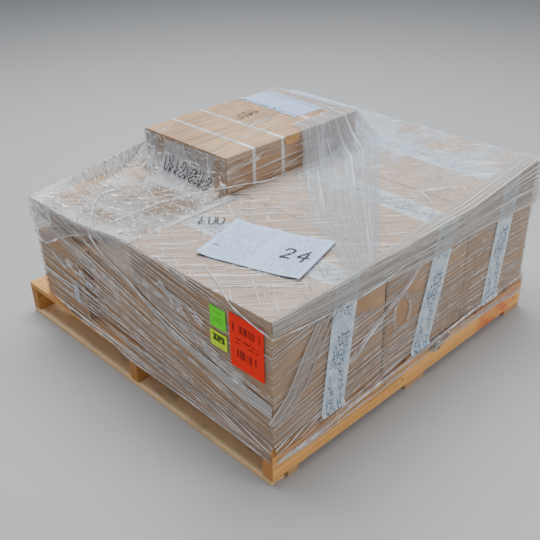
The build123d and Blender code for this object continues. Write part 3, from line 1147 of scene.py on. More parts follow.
wrapSettings = {
    "columns": 440, "rows": 100,
    "ripple": 1.6, "fineRipple": 0.6,       # in mm
    "slackShade": (0.55, 0.51, 0.48, 1),
    "footShade": (0.30, 0.25, 0.21, 1),
    # line sets: lines per metre, stretch, width, gaps
    "left": ((60, 1.0, 0.085, 0.49), (118, 1.3, 0.115, 0.49), (240, 1.8, 0.13, 0.51)),
    "right": ((58, 1.0, 0.085, 0.48), (112, 1.3, 0.115, 0.49), (215, 1.8, 0.13, 0.52)),
    "rest": ((50, 1.4, 0.13, 0.45), (110, 1.8, 0.15, 0.48), (220, 2.4, 0.16, 0.50)),
}


def makeSideWrap():
    settings = wrapSettings
    lowX, lowY = wrapLow[0], wrapLow[1]
    highX, highY = wrapHigh[0], wrapHigh[1]
    spanX, spanY = highX - lowX, highY - lowY
    perimeter = 2 * (spanX + spanY)

    def around(distance):
        # place, outward direction, side and distance along that side
        distance = distance % perimeter
        if distance < spanY:
            return lowX, lowY + distance, (-1, 0), 0, distance
        distance -= spanY
        if distance < spanX:
            return lowX + distance, highY, (0, 1), 2, distance
        distance -= spanX
        if distance < spanY:
            return highX, highY - distance, (1, 0), 3, distance
        distance -= spanY
        return highX - distance, lowY, (0, -1), 1, spanX - distance

    def placeOf(u, v):
        x, y, out, side, along = around(u * perimeter)
        z = mix(lowerEdge(side, along), upperEdge(x, y), v)
        ripple = settings["ripple"] * noise.noise(
            Vector((along * 0.006, z * 0.05 - along * 0.006, side)))
        ripple += settings["fineRipple"] * noise.noise(
            Vector((along * 0.007, z * 0.09 - along * 0.011, side + 9)))
        spread = abs(ripple) + 0.1
        if side == 0 and onLabel(y, z, 16):
            spread = -0.3
        spread += hangOut(z)
        if side in (1, 3):
            spread += farSlack(x, z)
        return at(x + out[0] * spread, y + out[1] * spread, z)

    bm = newSheet()
    verts = addGrid(bm, settings["columns"], settings["rows"], placeOf)
    across = bm.verts.layers.float["across"]
    for vert in verts:
        x, y, z = (vert.co.x - cornerX) / mm, (vert.co.y - cornerY) / mm, vert.co.z / mm
        side, along = (1, x) if y < rightY + 1 else (0, y) if x < leftX + 1 else (2, x)
        vert[across] = (z - lowerEdge(side, along)) * mm
    bmesh.ops.remove_doubles(bm, verts=verts, dist=0.00002)

    def rightMilk(finish):
        # bunched film along the foot and round the oval opening
        place = finish.place()
        x, _, z = finish.parts(place)
        ragged = finish.noise(place, 14, 3, 0.6) * 0.03 - 0.012
        foot = (1 - (ownCourse(finish)[1] - ragged).ramp(0.002, 0.009)) * 0.75
        (cx, cz), (rx, rz) = filmOpenings["oval"][:2]
        away = finish.length((x - (cornerX + cx * mm)) / (rx * mm), (z - cz * mm) / (rz * mm))
        frayed = finish.noise(place, 130, 2, 0.7).ramp(0.46, 0.56)
        return foot.high((1 - abs(away - 1.25).ramp(0.05, 0.5)) * frayed * 0.8)

    def openHere(finish):
        # nothing inside the torn openings, whose edges wander
        place = finish.place()
        x, _, z = finish.parts(place)
        stray = (finish.noise(place, 38, 3, 0.7) - 0.5) * 0.009
        kept = None
        for (cx, cz), (rx, rz), squareness, slope in filmOpenings.values():
            aside = x - (cornerX + cx * mm)
            across = abs(aside + stray) / (rx * mm)
            up = abs(z + stray + aside * slope - cz * mm) / (rz * mm)
            outside = (across ** squareness + up ** squareness).ramp(0.92, 1.08)
            kept = outside if kept is None else kept * outside
        return kept * 0.85 + 0.15

    def gapShadow(finish):
        # painted shadow: the film turns dark and dense over the gap between the near and the middle
        # carton, where shade falls into the gap
        x, _, z = finish.parts(finish.place())
        gap = cornerX + (nearHigh[0] + 1) * mm
        sunk = finish.noise(finish.join(0, 0, z * 60), 1, 2).ramp(0.40, 0.48)
        return (1 - abs(x - gap).ramp(0.0012, 0.0028)) * sunk

    def gapShadowColour(finish):
        # the clear film's colour, darkened by the painted gap shadow
        return finish.blend(gapShadow(finish), filmSettings["clear"], filmSettings["troughShade"])

    def hazeAndGapShadow(finish):
        return 0.13 + gapShadow(finish) * 0.75

    def leftMilkAndCornerShade(finish):
        # darker film along the foot, pale slack film, and a painted shade towards the near carton's
        # rear corner
        y = finish.parts(finish.place())[1]
        foot = (1 - ownCourse(finish)[1].ramp(0.042, 0.075)) * 0.52 * (1 - y.ramp(0.0, 0.10))
        return foot.high(slackHere(finish) * 0.66).high(cornerShade(finish) * 0.55)

    rearCorner = cornerY + nearHigh[1] * mm

    def slackHere(finish):
        # smooth slack film between the near carton's rear corner and the left stack
        _, y, z = finish.parts(finish.place())
        wander = (finish.noise(finish.place(), 7, 2) - 0.5) * 0.10
        past = y - rearCorner
        zone = past.ramp(0.000, 0.003) * (1 - (past + wander).ramp(0.13, 0.23))
        return zone * (z + wander).ramp(0.34, 0.42)

    def cornerShade(finish):
        # painted shade: the film over the near carton's side is darker towards that corner, where the
        # side lies in shade
        _, y, z = finish.parts(finish.place())
        past = y - rearCorner
        return past.ramp(-0.15, -0.01) * (1 - past.ramp(0.000, 0.003)) * z.ramp(0.33, 0.43)

    def slackShade(finish):
        return finish.blend(slackHere(finish), settings["footShade"], settings["slackShade"])

    # the creases spread as they fan out, so finer ones take over further off
    def nearby(finish):
        y = finish.parts(finish.place())[1]
        return (1 - y.ramp(-0.35, 0.15) * 0.85) * (0.85 - slackHere(finish) * 0.6)

    def middling(finish):
        return 0.85 - slackHere(finish) * 0.6

    def farOff(finish):
        y = finish.parts(finish.place())[1]
        return (y.ramp(-0.45, 0.05) * 0.7 + 0.3) * (1 - slackHere(finish) * 0.5)

    def lines(key, course, strengths):
        return [(course, *line, strength) for line, strength in zip(settings[key], strengths)]

    left = filmFinish("leftFilm", lines("left", leftCourse, (nearby, middling, farOff)), even=True,
                      haze=0.10, bands=0.05, shadeGain=0.68, milkAndPaintedLight=leftMilkAndCornerShade, milkAndPaintedLightColour=slackShade)
    right = filmFinish("rightFilm", lines("right", rightCourse, (1.0, 0.95, 0.7)), even=True,
                       haze=hazeAndGapShadow, bands=0.08, shadeGain=0.62, clear=gapShadowColour, milkAndPaintedLight=rightMilk,
                       fade=openHere)
    rest = filmFinish("restFilm", lines("rest", levelCourse, (1.0, 0.8, 0.6)), even=True)
    wrap = finishPiece("filmSides", bm, left, "stretch_film", "film_side_wrap")
    wrap.data.materials.append(right)
    wrap.data.materials.append(rest)
    for polygon in wrap.data.polygons:
        x = (polygon.center.x - cornerX) / mm
        y = (polygon.center.y - cornerY) / mm
        if abs(polygon.normal.y) > abs(polygon.normal.x):
            polygon.material_index = 1 if y < 500 else 2
        else:
            polygon.material_index = 0 if x < 500 else 2
    print("side film made")


def fanHeight(start, y):
    # a crease on the left front face that meets the near corner at a height
    if start < 215:
        return start + (0.03 + 0.0019 * (start - 75)) * y
    return start + 0.13 * y


def inOpening(x, z):
    return any(((x - cx) / rx) ** 2 + ((z - cz) / rz) ** 2 < 1.3
               for (cx, cz), (rx, rz), *_ in filmOpenings.values())


def crosses(points, test, shares):
    # whether a crease runs over what the test names
    return any(test(mix(p[0], q[0], t), mix(p[1], q[1], t))
               for p, q in zip(points, points[1:]) for t in shares)


pleatSettings = {
    # in mm, each pair is a range that is drawn from
    "left": {"count": 300, "start": (74, 470), "length": (90, 520), "width": (0.7, 1.9),
             "height": (0.5, 1.4), "end": 1052, "offset": 1.9},
    "right": {"count": 310, "start": (84, 480), "length": (80, 460), "width": (0.7, 2.0),
              "height": (0.5, 1.4), "end": 1150, "offset": 1.9, "overTapes": 3.6},
    "corner": {"count": 18, "height": (150, 452), "right": (15, 60), "rise": (0.12, 0.42),
               "width": (0.6, 1.6), "crest": (0.4, 1.1)},
    "top": {"width": (0.9, 2.4), "height": (0.3, 1.2), "turn": 0.12,
            # how many, x, y, way and length: across the near tops, and further right
            "groups": ((100, (20, 560), (20, 560), (0.72, -0.69), (60, 330)),
                       (50, (560, 1130), (60, 560), (0.62, 0.78), (30, 120)))},
    "slackZone": (345, 540, 760),       # above this height few creases from one y to the other
    "shades": ((0.84, 0.82, 0.80, 1), (1.0, 0.99, 0.97, 1)),
}


def drawn(settings, name):
    return dice.uniform(*settings[name])


def makePleats():
    bm = bmesh.new()
    addLeftPleats(bm, pleatSettings["left"])
    addRightPleats(bm, pleatSettings["right"])
    material = crestFinish("pleatCrests", *pleatSettings["shades"], 0.4, 1.0)
    finishPiece("pleatsFront", bm, material, "stretch_film")
    for name, addThem in (("Corner", addCornerPleats), ("Top", addTopPleats)):
        bm = bmesh.new()
        addThem(bm, pleatSettings[name.lower()])
        finishPiece("pleats" + name, bm, material, "stretch_film")
    print("pleats made")


def addLeftPleats(bm, settings):
    slackHeight, slackStart, slackEnd = pleatSettings["slackZone"]
    for number in range(settings["count"]):
        start = drawn(settings, "start")
        reach = 1050 if start < 215 else max(60, (start - 215) / 0.166)
        a = dice.uniform(0, reach * 0.75)
        b = min(a + drawn(settings, "length"), reach, settings["end"])
        points = []
        for step in range(5):
            y = mix(a, b, step / 4)
            z = fanHeight(start, y) + 5 * noise.noise(Vector((y * 0.006, start * 0.02, 1)))
            points.append((y, max(min(z, upperEdge(0, y) - 2), lowerEdge(0, y) + 3)))
        if crosses(points, lambda y, z: onLabel(y, z, 3), (0, 0.25, 0.5, 0.75, 1)):
            continue
        y, z = points[2]
        if z > slackHeight and slackStart < y < slackEnd and number % 3:
            continue
        places = [at(leftX - settings["offset"] - hangOut(z), y, z) for y, z in points]
        addPleat(bm, places, drawn(settings, "width") * mm, drawn(settings, "height") * mm,
                 Vector((-1, 0, 0)))


def addRightPleats(bm, settings):
    for number in range(settings["count"]):
        start = drawn(settings, "start")
        a = dice.uniform(0, 1000)
        b = min(a + drawn(settings, "length"), settings["end"])
        points = []
        for step in range(5):
            x = mix(a, b, step / 4)
            z = start + 0.17 * (x - a) - 0.0001 * (x * x - a * a)
            z += 4 * noise.noise(Vector((x * 0.007, start * 0.02, 7)))
            points.append((x, max(min(z, levelZ - 3 + coverRise(x)), lowerEdge(1, x) + 3)))
        if crosses(points, inOpening, (0, 0.25, 0.5, 0.75)):
            continue
        offset = settings["offset"] if number % 4 else settings["overTapes"]
        places = [at(x, rightY - offset - hangOut(z), z) for x, z in points]
        addPleat(bm, places, drawn(settings, "width") * mm, drawn(settings, "height") * mm,
                 Vector((0, -1, 0)))


def addCornerPleats(bm, settings):
    # short creases that turn the near corner, each bent like a shallow V
    for _ in range(settings["count"]):
        z = drawn(settings, "height")
        left, right = dice.uniform(10, 24 if z > 285 else 75), drawn(settings, "right")
        rise = drawn(settings, "rise")
        places = [at(leftX - 1.8, left, z + left * rise),
                  at(leftX - 2.0, left * 0.4, z + left * rise * 0.35),
                  at(leftX - 2.0, rightY - 1.4, z),
                  at(leftX + right * 0.4, rightY - 2.2, z + right * rise * 0.35),
                  at(leftX + right, rightY - 1.8, z + right * rise)]
        addPleat(bm, places, drawn(settings, "width") * mm, drawn(settings, "crest") * mm,
                 Vector((-0.7, -0.7, 0)), 20)


def addTopPleats(bm, settings):
    for count, spanX, spanY, (wayX, wayY), lengths in settings["groups"]:
        for _ in range(count):
            x, y, length = dice.uniform(*spanX), dice.uniform(*spanY), dice.uniform(*lengths)
            turn = dice.uniform(-settings["turn"], settings["turn"])
            places = []
            for step in range(4):
                reach = (step / 3 - 0.5) * length
                px = min(max(x + (wayX - turn * wayY) * reach, 12), 1150)
                py = min(max(y + (wayY + turn * wayX) * reach, 8), 568)
                if px < topLow[0]:
                    py = min(py, nearHigh[1] - 4)
                places.append(at(px, py, levelZ + coverRise(px) + 0.9))
            if (places[3] - places[0]).length > 0.02:
                addPleat(bm, places, drawn(settings, "width") * mm, drawn(settings, "height") * mm,
                         Vector((0, 0, 1)), 14)


topFilmSettings = {
    "columns": 190, "rows": 180,
    "ripple": 1.4,
    "lines": [(topCourse, 60, 3.0, 0.070, 0.50, 0.8),
              (crossCourse, 120, 7.0, 0.070, 0.50, 0.7),
              (topCourse, 170, 5.0, 0.080, 0.52, 0.6)],
    "clear": (0.64, 0.65, 0.66, 1),
    "troughShade": (0.22, 0.135, 0.085, 1),
    # colour of the painted sky reflection on the top film
    "skyReflection": (0.53, 0.69, 0.86, 1),
}


def makeTopFilm():
    settings = topFilmSettings

    def placeOf(u, v):
        x = mix(wrapLow[0], wrapHigh[0], u)
        y = mix(wrapLow[1], wrapHigh[1], v)
        ripple = abs(noise.noise(Vector(((x * 0.69 + y * 0.72) * 0.06, (x - y) * 0.006, 0))))
        return at(x, y, levelZ + coverRise(x) + settings["ripple"] * ripple)

    bm = bmesh.new()
    addGrid(bm, settings["columns"], settings["rows"], placeOf)
    # open where the top carton stands and where the tent takes over
    doomed = []
    for face in bm.faces:
        middle = face.calc_center_median()
        x, y = (middle.x - cornerX) / mm, (middle.y - cornerY) / mm
        underTop = topLow[0] - 4 < x < topHigh[0] + 3 and topLow[1] - 3 < y < topHigh[1] + 3
        if underTop or (x < topLow[0] and y > nearHigh[1]):
            doomed.append(face)
    bmesh.ops.delete(bm, geom=doomed, context="FACES")

    def farSkyReflection(finish):
        # painted reflection: the film goes bluish white towards the right and the far edge, where the
        # sky reflects at a glancing angle
        x, y = finish.parts(finish.place())[:2]
        patches = finish.noise(finish.join(x * 3, y * 6, 0), 1, 3, 0.6).ramp(0.42, 0.60)
        right = (x + y * 0.4).ramp(-0.15, 0.35)
        far = y.ramp(-0.02, 0.30) * x.ramp(0.30, 0.42)
        return right * (0.24 + patches * 0.40) + far * 0.72

    material = filmFinish("topFilm", settings["lines"], haze=0.24, highlightGain=0.5, bands=0.4, shadeGain=0.45,
                          milkAndPaintedLight=farSkyReflection, milkAndPaintedLightColour=settings["skyReflection"], clear=settings["clear"],
                          troughShade=settings["troughShade"])
    finishPiece("filmTop", bm, material, "stretch_film", "film_top_cover")
    print("top film made")


tentSettings = {
    "nearHeight": 544.0,     # where the film leaves the top carton's left end, near and far
    "farHeight": 556.0,
    "hem": 597.0,            # the film's upper edge on that end
    "crumple": 0.5,
    "columns": 150, "rows": 120,
    "clearShades": ((0.49, 0.50, 0.52, 1), (0.47, 0.35, 0.25, 1)),
    "rim": (0.66, 0.69, 0.73, 1),
    "troughShade": (0.20, 0.16, 0.13, 1),
    "lines": [(ownCourse, 100, 12, 0.070, 0.48, 0.9),
              (steepCourse, 150, 15, 0.070, 0.50, 0.9),
              (crossCourse, 170, 18, 0.070, 0.50, 0.8)],
    # short crossing creases: how many, ways across u and v, width, height
    "creases": 190,
    "ways": ((0.09, 0.015), (0.07, -0.05), (0.015, 0.09), (0.07, 0.05)),
    "width": (0.6, 1.1), "height": (0.3, 0.7),
    "crests": ((0.70, 0.70, 0.70, 1), (0.96, 0.97, 1.0, 1)),
}


def tentOuter(y):       # the tent's outer edge, along the left front face
    if y < smallLow[1]:
        return at(leftX, y, mix(levelZ, smallHigh[2] + 3, smoothStep(nearHigh[1], smallLow[1], y)))
    return at(leftX - 4 * smoothStep(smallLow[1], wrapHigh[1], y), y,
              smallHigh[2] + 3 + 3 * smoothStep(900, wrapHigh[1], y))


def tentPlace(u, v):
    # u runs from the near end to the far end, v from the outer edge up the top carton's end
    settings = tentSettings
    edgeX = topLow[0] - 3
    y = mix(nearHigh[1], wrapHigh[1], u)
    reach = min(max(y, topLow[1]), topHigh[1])
    height = mix(settings["nearHeight"], settings["farHeight"], u)
    leave = at(edgeX, reach, mix(levelZ + 5, height, smoothStep(0, 0.13, u)))
    if v < 0.8:
        f = v / 0.8
        start = tentOuter(y)
        place = start.lerp(leave, f)
        # slack near the near carton, taut along the far edge
        climb = f ** mix(12, 0.92, smoothStep(0.48, 1.0, u))
        place.z = start.z + (leave.z - start.z) * climb
        lift = math.sin(math.pi * f) ** 0.6
    else:
        place = leave.lerp(at(edgeX, reach, settings["hem"]), (v - 0.8) / 0.2)
        lift = 0.25
    spot = Vector((place.x * 16, place.y * 16, place.z * 16))
    crumple = abs(noise.noise(spot)) + 0.6 * abs(noise.noise(spot * 2.7)) \
        + 0.4 * abs(noise.noise(spot * 6.5))
    return place + Vector((-0.35, 0, 0.94)) * 0.0085 * crumple * lift * settings["crumple"]


def tentAt(x, y, lift):     # the place on the tent above x and y
    u = (y - nearHigh[1]) / (wrapHigh[1] - nearHigh[1])
    f = (x - leftX) / (topLow[0] - 3 - leftX)
    place = tentPlace(min(max(u, 0), 1), min(max(f, 0), 1) * 0.8)
    return place + Vector((0, 0, lift * mm))


def makeTent():
    settings = tentSettings
    bm = newSheet()
    addGrid(bm, settings["columns"], settings["rows"], tentPlace, (0.52, 0.45))

    def frontOf(u, v):
        # the small gusset between the tent and the near carton's back edge
        high = tentPlace(0, u * 0.8)
        low = Vector((high.x, at(0, nearHigh[1], 0).y, min(high.z, (levelZ + 0.5) * mm)))
        return low.lerp(high, v)

    addGrid(bm, 60, 12, frontOf, (0.4, 0.06))
    bmesh.ops.remove_doubles(bm, verts=bm.verts[:], dist=0.0004)

    def tan(finish):
        return finish.noise(finish.place(), 8, 3, 0.6).ramp(0.44, 0.60)

    def rim(finish):
        return 1 - ownCourse(finish)[1].ramp(0.0, 0.09)

    def mottle(finish):
        shade = finish.blend(tan(finish), *settings["clearShades"])
        return finish.blend(rim(finish), shade, settings["rim"])

    def thickness(finish):
        return 0.60 + rim(finish) * 0.22 - tan(finish) * 0.18

    material = filmFinish("tentFilm", settings["lines"], haze=thickness, highlightGain=0.4, bands=0.4,
                          shadeGain=0.25, clear=mottle, troughShade=settings["troughShade"])
    finishPiece("filmTent", bm, material, "stretch_film", "film_left_tent")

    # short crossing creases all over the tent
    bm = bmesh.new()
    for _ in range(settings["creases"]):
        u, v = dice.uniform(0.03, 0.97), dice.uniform(0.03, 0.76)
        way = dice.choice(settings["ways"])
        size = dice.uniform(0.15, 0.5)
        places = []
        for step in range(3):
            a = min(max(u + way[0] * size * (step - 1) / 2, 0), 1)
            b = min(max(v + way[1] * size * (step - 1) / 2 + dice.uniform(-0.004, 0.004), 0), 1)
            places.append(tentPlace(a, b) + Vector((-0.0006, -0.0004, 0.0010)))
        if (places[2] - places[0]).length > 0.006:
            addPleat(bm, places, drawn(settings, "width") * mm, drawn(settings, "height") * mm,
                     Vector((-0.35, 0, 0.94)), 8)
    crest = crestFinish("tentCrests", *settings["crests"], 0.4, 0.9)
    finishPiece("pleatsTent", bm, crest, "stretch_film")
    makeFlap(crest)
    print("tent made")


flapSettings = {
    # the hem's y and z
    "hem": ((1060, 356), (1040, 330), (1000, 322), (947, 348), (880, 384), (817, 412),
            (740, 438), (650, 446), (567, 452)),
    "lines": [(ownCourse, 60, 2.5, 0.035, 0.50, 0.7), (leftCourse, 70, 2.0, 0.035, 0.50, 0.7)],
    "clear": (0.50, 0.51, 0.53, 1),
    "hemRadius": 4.2, "thinRadius": 1.6,
}


def makeFlap(crest):
    # the slack flap that hangs from the tent's far outer edge, with a curled hem
    settings = flapSettings
    hemLine = smoothCurve([(y, z, 0) for y, z in settings["hem"]], 60)

    def flapOf(u, v):
        low = alongLine(hemLine, u)[0]
        high = tentOuter(low.x)
        bulge = 9 * math.sin(math.pi * v * 0.8 + 0.3) + 4 * noise.noise(Vector((u * 5, v * 3, 2)))
        return at(leftX - 2 - bulge * (1 - 0.5 * u), low.x, mix(low.y, high.z / mm, v))

    bm = newSheet()
    addGrid(bm, 90, 30, flapOf, (0.5, 0.11))
    flap = filmFinish("flapFilm", settings["lines"], haze=0.36, highlightGain=0.4, bands=0.8, shadeGain=0.12,
                      clear=settings["clear"])
    finishPiece("filmFlap", bm, flap, "stretch_film")
    bm = bmesh.new()
    for steps, out, radius, columns in ((range(9), 2, settings["hemRadius"], 70),
                                        (range(7, 14), 1, settings["thinRadius"], 50)):
        places = [flapOf(step / 18, 0) + Vector((-out * mm, 0, 0)) for step in steps]
        addStrand(bm, places, radius * mm, 5, columns, 0.8, Vector((-1, 0, 0)))
    finishPiece("flapHem", bm, crest, "stretch_film")


topCartonFilmSettings = {
    "columns": 90, "rows": 100,
    "troughShade": (0.20, 0.10, 0.05, 1),
}


def makeTopCartonFilm():
    # creased film on the top carton's near face, and thinner across its top
    settings = topCartonFilmSettings
    depth = topHigh[1] - topLow[1]

    def placeOf(u, v):
        x = mix(topLow[0] - 3, topHigh[0] + 1, u)
        ripple = 1.6 * abs(noise.noise(Vector((x * 0.004, v * 46, 4))))
        if v < 0.2:
            return at(x, topLow[1] - 3.2 - ripple, mix(levelZ + 2, topHigh[2] + 0.8, v / 0.2))
        return at(x, topLow[1] - 3 + (depth + 2) * (v - 0.2) / 0.8, topHigh[2] + 0.8)

    bm = newSheet()
    addGrid(bm, settings["columns"], settings["rows"], placeOf, (0.59, 0.57))

    def thickness(finish):
        z = finish.parts(finish.place())[2]
        return (1 - z.ramp((topHigh[2] - 4) * mm, topHigh[2] * mm)) * 0.10 + 0.03

    def slanted(finish, *place):
        along, across = ownCourse(finish)
        return along + across * 0.3, across - along * 0.22

    material = filmFinish("topCartonFilm", [
        (ownCourse, 60, 2.2, 0.070, 0.48, 0.9),
        (slanted, 45, 2.6, 0.060, 0.52, 0.8),
        (ownCourse, 130, 3.0, 0.070, 0.50, 0.7),
    ], haze=thickness, highlightGain=0.42, bands=0.4, shadeGain=0.36, troughShade=settings["troughShade"])
    finishPiece("filmTopCarton", bm, material, "stretch_film")
    print("top carton's film made")


veilSettings = {
    # x at the left and the right edge, on top of the carton and at its near edge
    "lap": (712, 973), "brink": (700, 974),
    # x, then y, at both edges: where it reaches the level film, and further down
    "landing": ((612, 1018), (482, 507)),
    "middle": ((405, 706), (247, 258)),
    "foot": ((278, 388), (9, 9)),
    # the same for the part that runs out to the far corner
    "wing": ((1018, 1152), (507, 760)),
    "lapDepth": 62, "wingDepth": 380,
    "ripple": 2.2,
    "clear": (0.64, 0.73, 0.84, 1),
    "troughShade": (0.48, 0.55, 0.64, 1),
    "lit": (0.86, 0.93, 1.0, 1),
}


def makeVeil():
    settings = veilSettings
    top = topHigh[2] + 3
    nearY = topLow[1] - 3
    farEnd = settings["brink"][1]

    def ground(x):
        return levelZ + 2.5 + coverRise(x)

    def onGround(name, u):
        spanX, spanY = settings[name]
        x = mix(*spanX, u)
        return at(x, mix(*spanY, u), ground(x))

    def placeOf(u, v):
        # u runs from the left to the right edge, v from the top carton down to the near edge
        lap = at(mix(*settings["lap"], u), nearY + settings["lapDepth"], top)
        brink = at(mix(*settings["brink"], u), nearY, top)
        landing, middle, foot = [onGround(name, u) for name in ("landing", "middle", "foot")]
        ripple = settings["ripple"] * abs(noise.noise(Vector((u * 30, v * 1.5, 3)))) + 0.6
        if v < 0.08:
            return lap.lerp(brink, v / 0.08) + Vector((0, 0, ripple * mm))
        if v < 0.42:
            t = (v - 0.08) / 0.34
            place = brink.lerp(landing, t)
            sag = 9 * math.sin(math.pi * t)
            return place + Vector((0, 0.3, -1)) * sag * mm + Vector((0, -0.6, 0.8)) * ripple * mm
        if v < 0.71:
            place = landing.lerp(middle, (v - 0.42) / 0.29)
        else:
            place = middle.lerp(foot, (v - 0.71) / 0.29)
        place.z = (ground((place.x - cornerX) / mm) + ripple * 0.7) * mm
        return place

    bm = newSheet()
    addGrid(bm, 170, 110, placeOf, (0.40, 0.66))

    def wingOf(u, v):
        # over the top carton's far end and out towards the far corner
        foot = onGround("wing", u)
        brink = at(farEnd, mix(nearY, nearY + settings["wingDepth"], u), top)
        ripple = settings["ripple"] * abs(noise.noise(Vector((u * 22, v * 1.5, 8)))) + 0.4
        sag = 8 * math.sin(math.pi * v)
        return brink.lerp(foot, v) + Vector((0, 0, (ripple - sag) * mm))

    addGrid(bm, 90, 60, wingOf, (0.38, 0.2))

    def lapOf(u, v):
        y = nearY + mix(settings["lapDepth"], settings["wingDepth"], v)
        ripple = 0.6 + 1.2 * abs(noise.noise(Vector((u * 5, v * 14, 1))))
        return at(mix(880, farEnd, u), y, top + ripple)

    addGrid(bm, 40, 50, lapOf, (0.1, 0.2))
    bmesh.ops.remove_doubles(bm, verts=bm.verts[:], dist=0.0006)

    def softEdge(finish):
        ragged = finish.noise(finish.place(), 30, 3, 0.6) * 0.03
        return (ownCourse(finish)[0] + ragged - 0.012).ramp(0.0, 0.03)

    def turnedCourse(finish, *place):
        along, across = ownCourse(finish)
        return across, along

    material = filmFinish("veilFilm", [
        (turnedCourse, 240, 1.6, 0.055, 0.40, 0.9),
        (turnedCourse, 110, 1.2, 0.035, 0.40, 1.0),
        (turnedCourse, 420, 2.0, 0.060, 0.42, 0.7),
        (topCourse, 90, 3.0, 0.030, 0.52, 0.5),
    ], haze=0.22, highlightGain=0.62, bands=0.5, shadeGain=0.04, clear=settings["clear"],
        troughShade=settings["troughShade"], lit=settings["lit"], fade=softEdge)
    finishPiece("filmVeil", bm, material, "stretch_film", "film_veil")
    print("veil made")


bandSettings = {
    # the band down the left front face: y, z and width
    "left": ((735, 450, 7), (665, 405, 8), (560, 366, 9), (465, 322, 11), (366, 284, 15),
             (280, 264, 21), (200, 250, 28), (123, 238, 35), (2, 232, 42)),
    # the bundle near the corner on the right front face: x, z and width, and its three bands'
    # shifts along x, widths and greatest heights
    "bundle": ((6, 196, 34), (38, 228, 26), (65, 254, 24), (100, 310, 24), (134, 365, 22),
               (174, 422, 18), (205, 450, 10)),
    "bundleBands": ((0, 30, 448), (30, 18, 452), (56, 12, 444)),
    "lines": [(ownCourse, 105, 1.6, 0.17, 0.42, 1.0), (ownCourse, 230, 2.2, 0.18, 0.46, 0.8)],
    "clear": (0.60, 0.59, 0.57, 1),
    "troughShade": (0.20, 0.165, 0.145, 1),
    "haze": {"bandFilm": 0.50, "bundleFilm": 0.24},
}


def makeBands():
    settings = bandSettings

    def bandFinish(name):
        return filmFinish(name, settings["lines"], even=True, haze=settings["haze"][name], highlightGain=0.5,
                          bands=0.5, shadeGain=0.4, clear=settings["clear"], troughShade=settings["troughShade"])

    bm = newSheet()
    points = [(at(leftX - 3.4, y, z), width) for y, z, width in settings["left"]]
    addBand(bm, points, Vector((-1, 0, 0)), 110, 14)
    finishPiece("filmBands", bm, bandFinish("bandFilm"), "stretch_film")
    bm = newSheet()
    for shift, share, highest in settings["bundleBands"]:
        points = [(at(x + shift, rightY - 2.6, min(z, highest)), width * share / 24)
                  for x, z, width in settings["bundle"]]
        addBand(bm, points, Vector((0, -1, 0)), 70, 10)
    finishPiece("filmBundle", bm, bandFinish("bundleFilm"), "stretch_film")
    makeShoulder()
    print("bands made")


shoulderSettings = {
    # the lower edge's x and z
    "hem": ((8, 447), (100, 440), (202, 431), (340, 420), (474, 412), (649, 401), (800, 405),
            (1020, 391), (1166, 390)),
    "columns": 260, "rows": 40,
    "lines": [(ownCourse, 85, 1.6, 0.15, 0.44, 1.0), (ownCourse, 190, 2.2, 0.17, 0.46, 0.8)],
    "clear": (0.56, 0.555, 0.53, 1),
    "troughShade": (0.20, 0.165, 0.14, 1),
}


def makeShoulder():
    # film folded over along the top edge of the right front face
    settings = shoulderSettings
    lowLine = smoothCurve([(x, z, 0) for x, z in settings["hem"]], 120)

    def shoulderOf(u, v):
        low = alongLine(lowLine, u)[0]
        x = low.x
        brinkZ = levelZ + 2 + coverRise(x)
        lap = mix(6, 62, smoothStep(150, 900, x))
        ripple = 2.6 * abs(noise.noise(Vector((u * 4, v * 14, 5))))
        ripple += 1.2 * abs(noise.noise(Vector((u * 9, v * 40, 1))))
        if v < 0.35:
            t = v / 0.35
            rise = 1.5 + ripple * 0.7 * math.sin(math.pi * t / 2)
            return at(x, mix(rightY + lap, rightY - 1, t), brinkZ + rise)
        t = (v - 0.35) / 0.65
        z = mix(brinkZ + 1, low.y, t)
        return at(x, rightY - 2.5 - ripple - farSlack(x, z) - 2.5 * math.sin(math.pi * t), z)

    bm = newSheet()
    addGrid(bm, settings["columns"], settings["rows"], shoulderOf, (1.15, 0.16))
    shoulder = filmFinish("shoulderFilm", settings["lines"], even=True, haze=0.33, highlightGain=0.55,
                          bands=0.9, shadeGain=0.38, clear=settings["clear"], troughShade=settings["troughShade"])
    finishPiece("filmShoulder", bm, shoulder, "stretch_film")


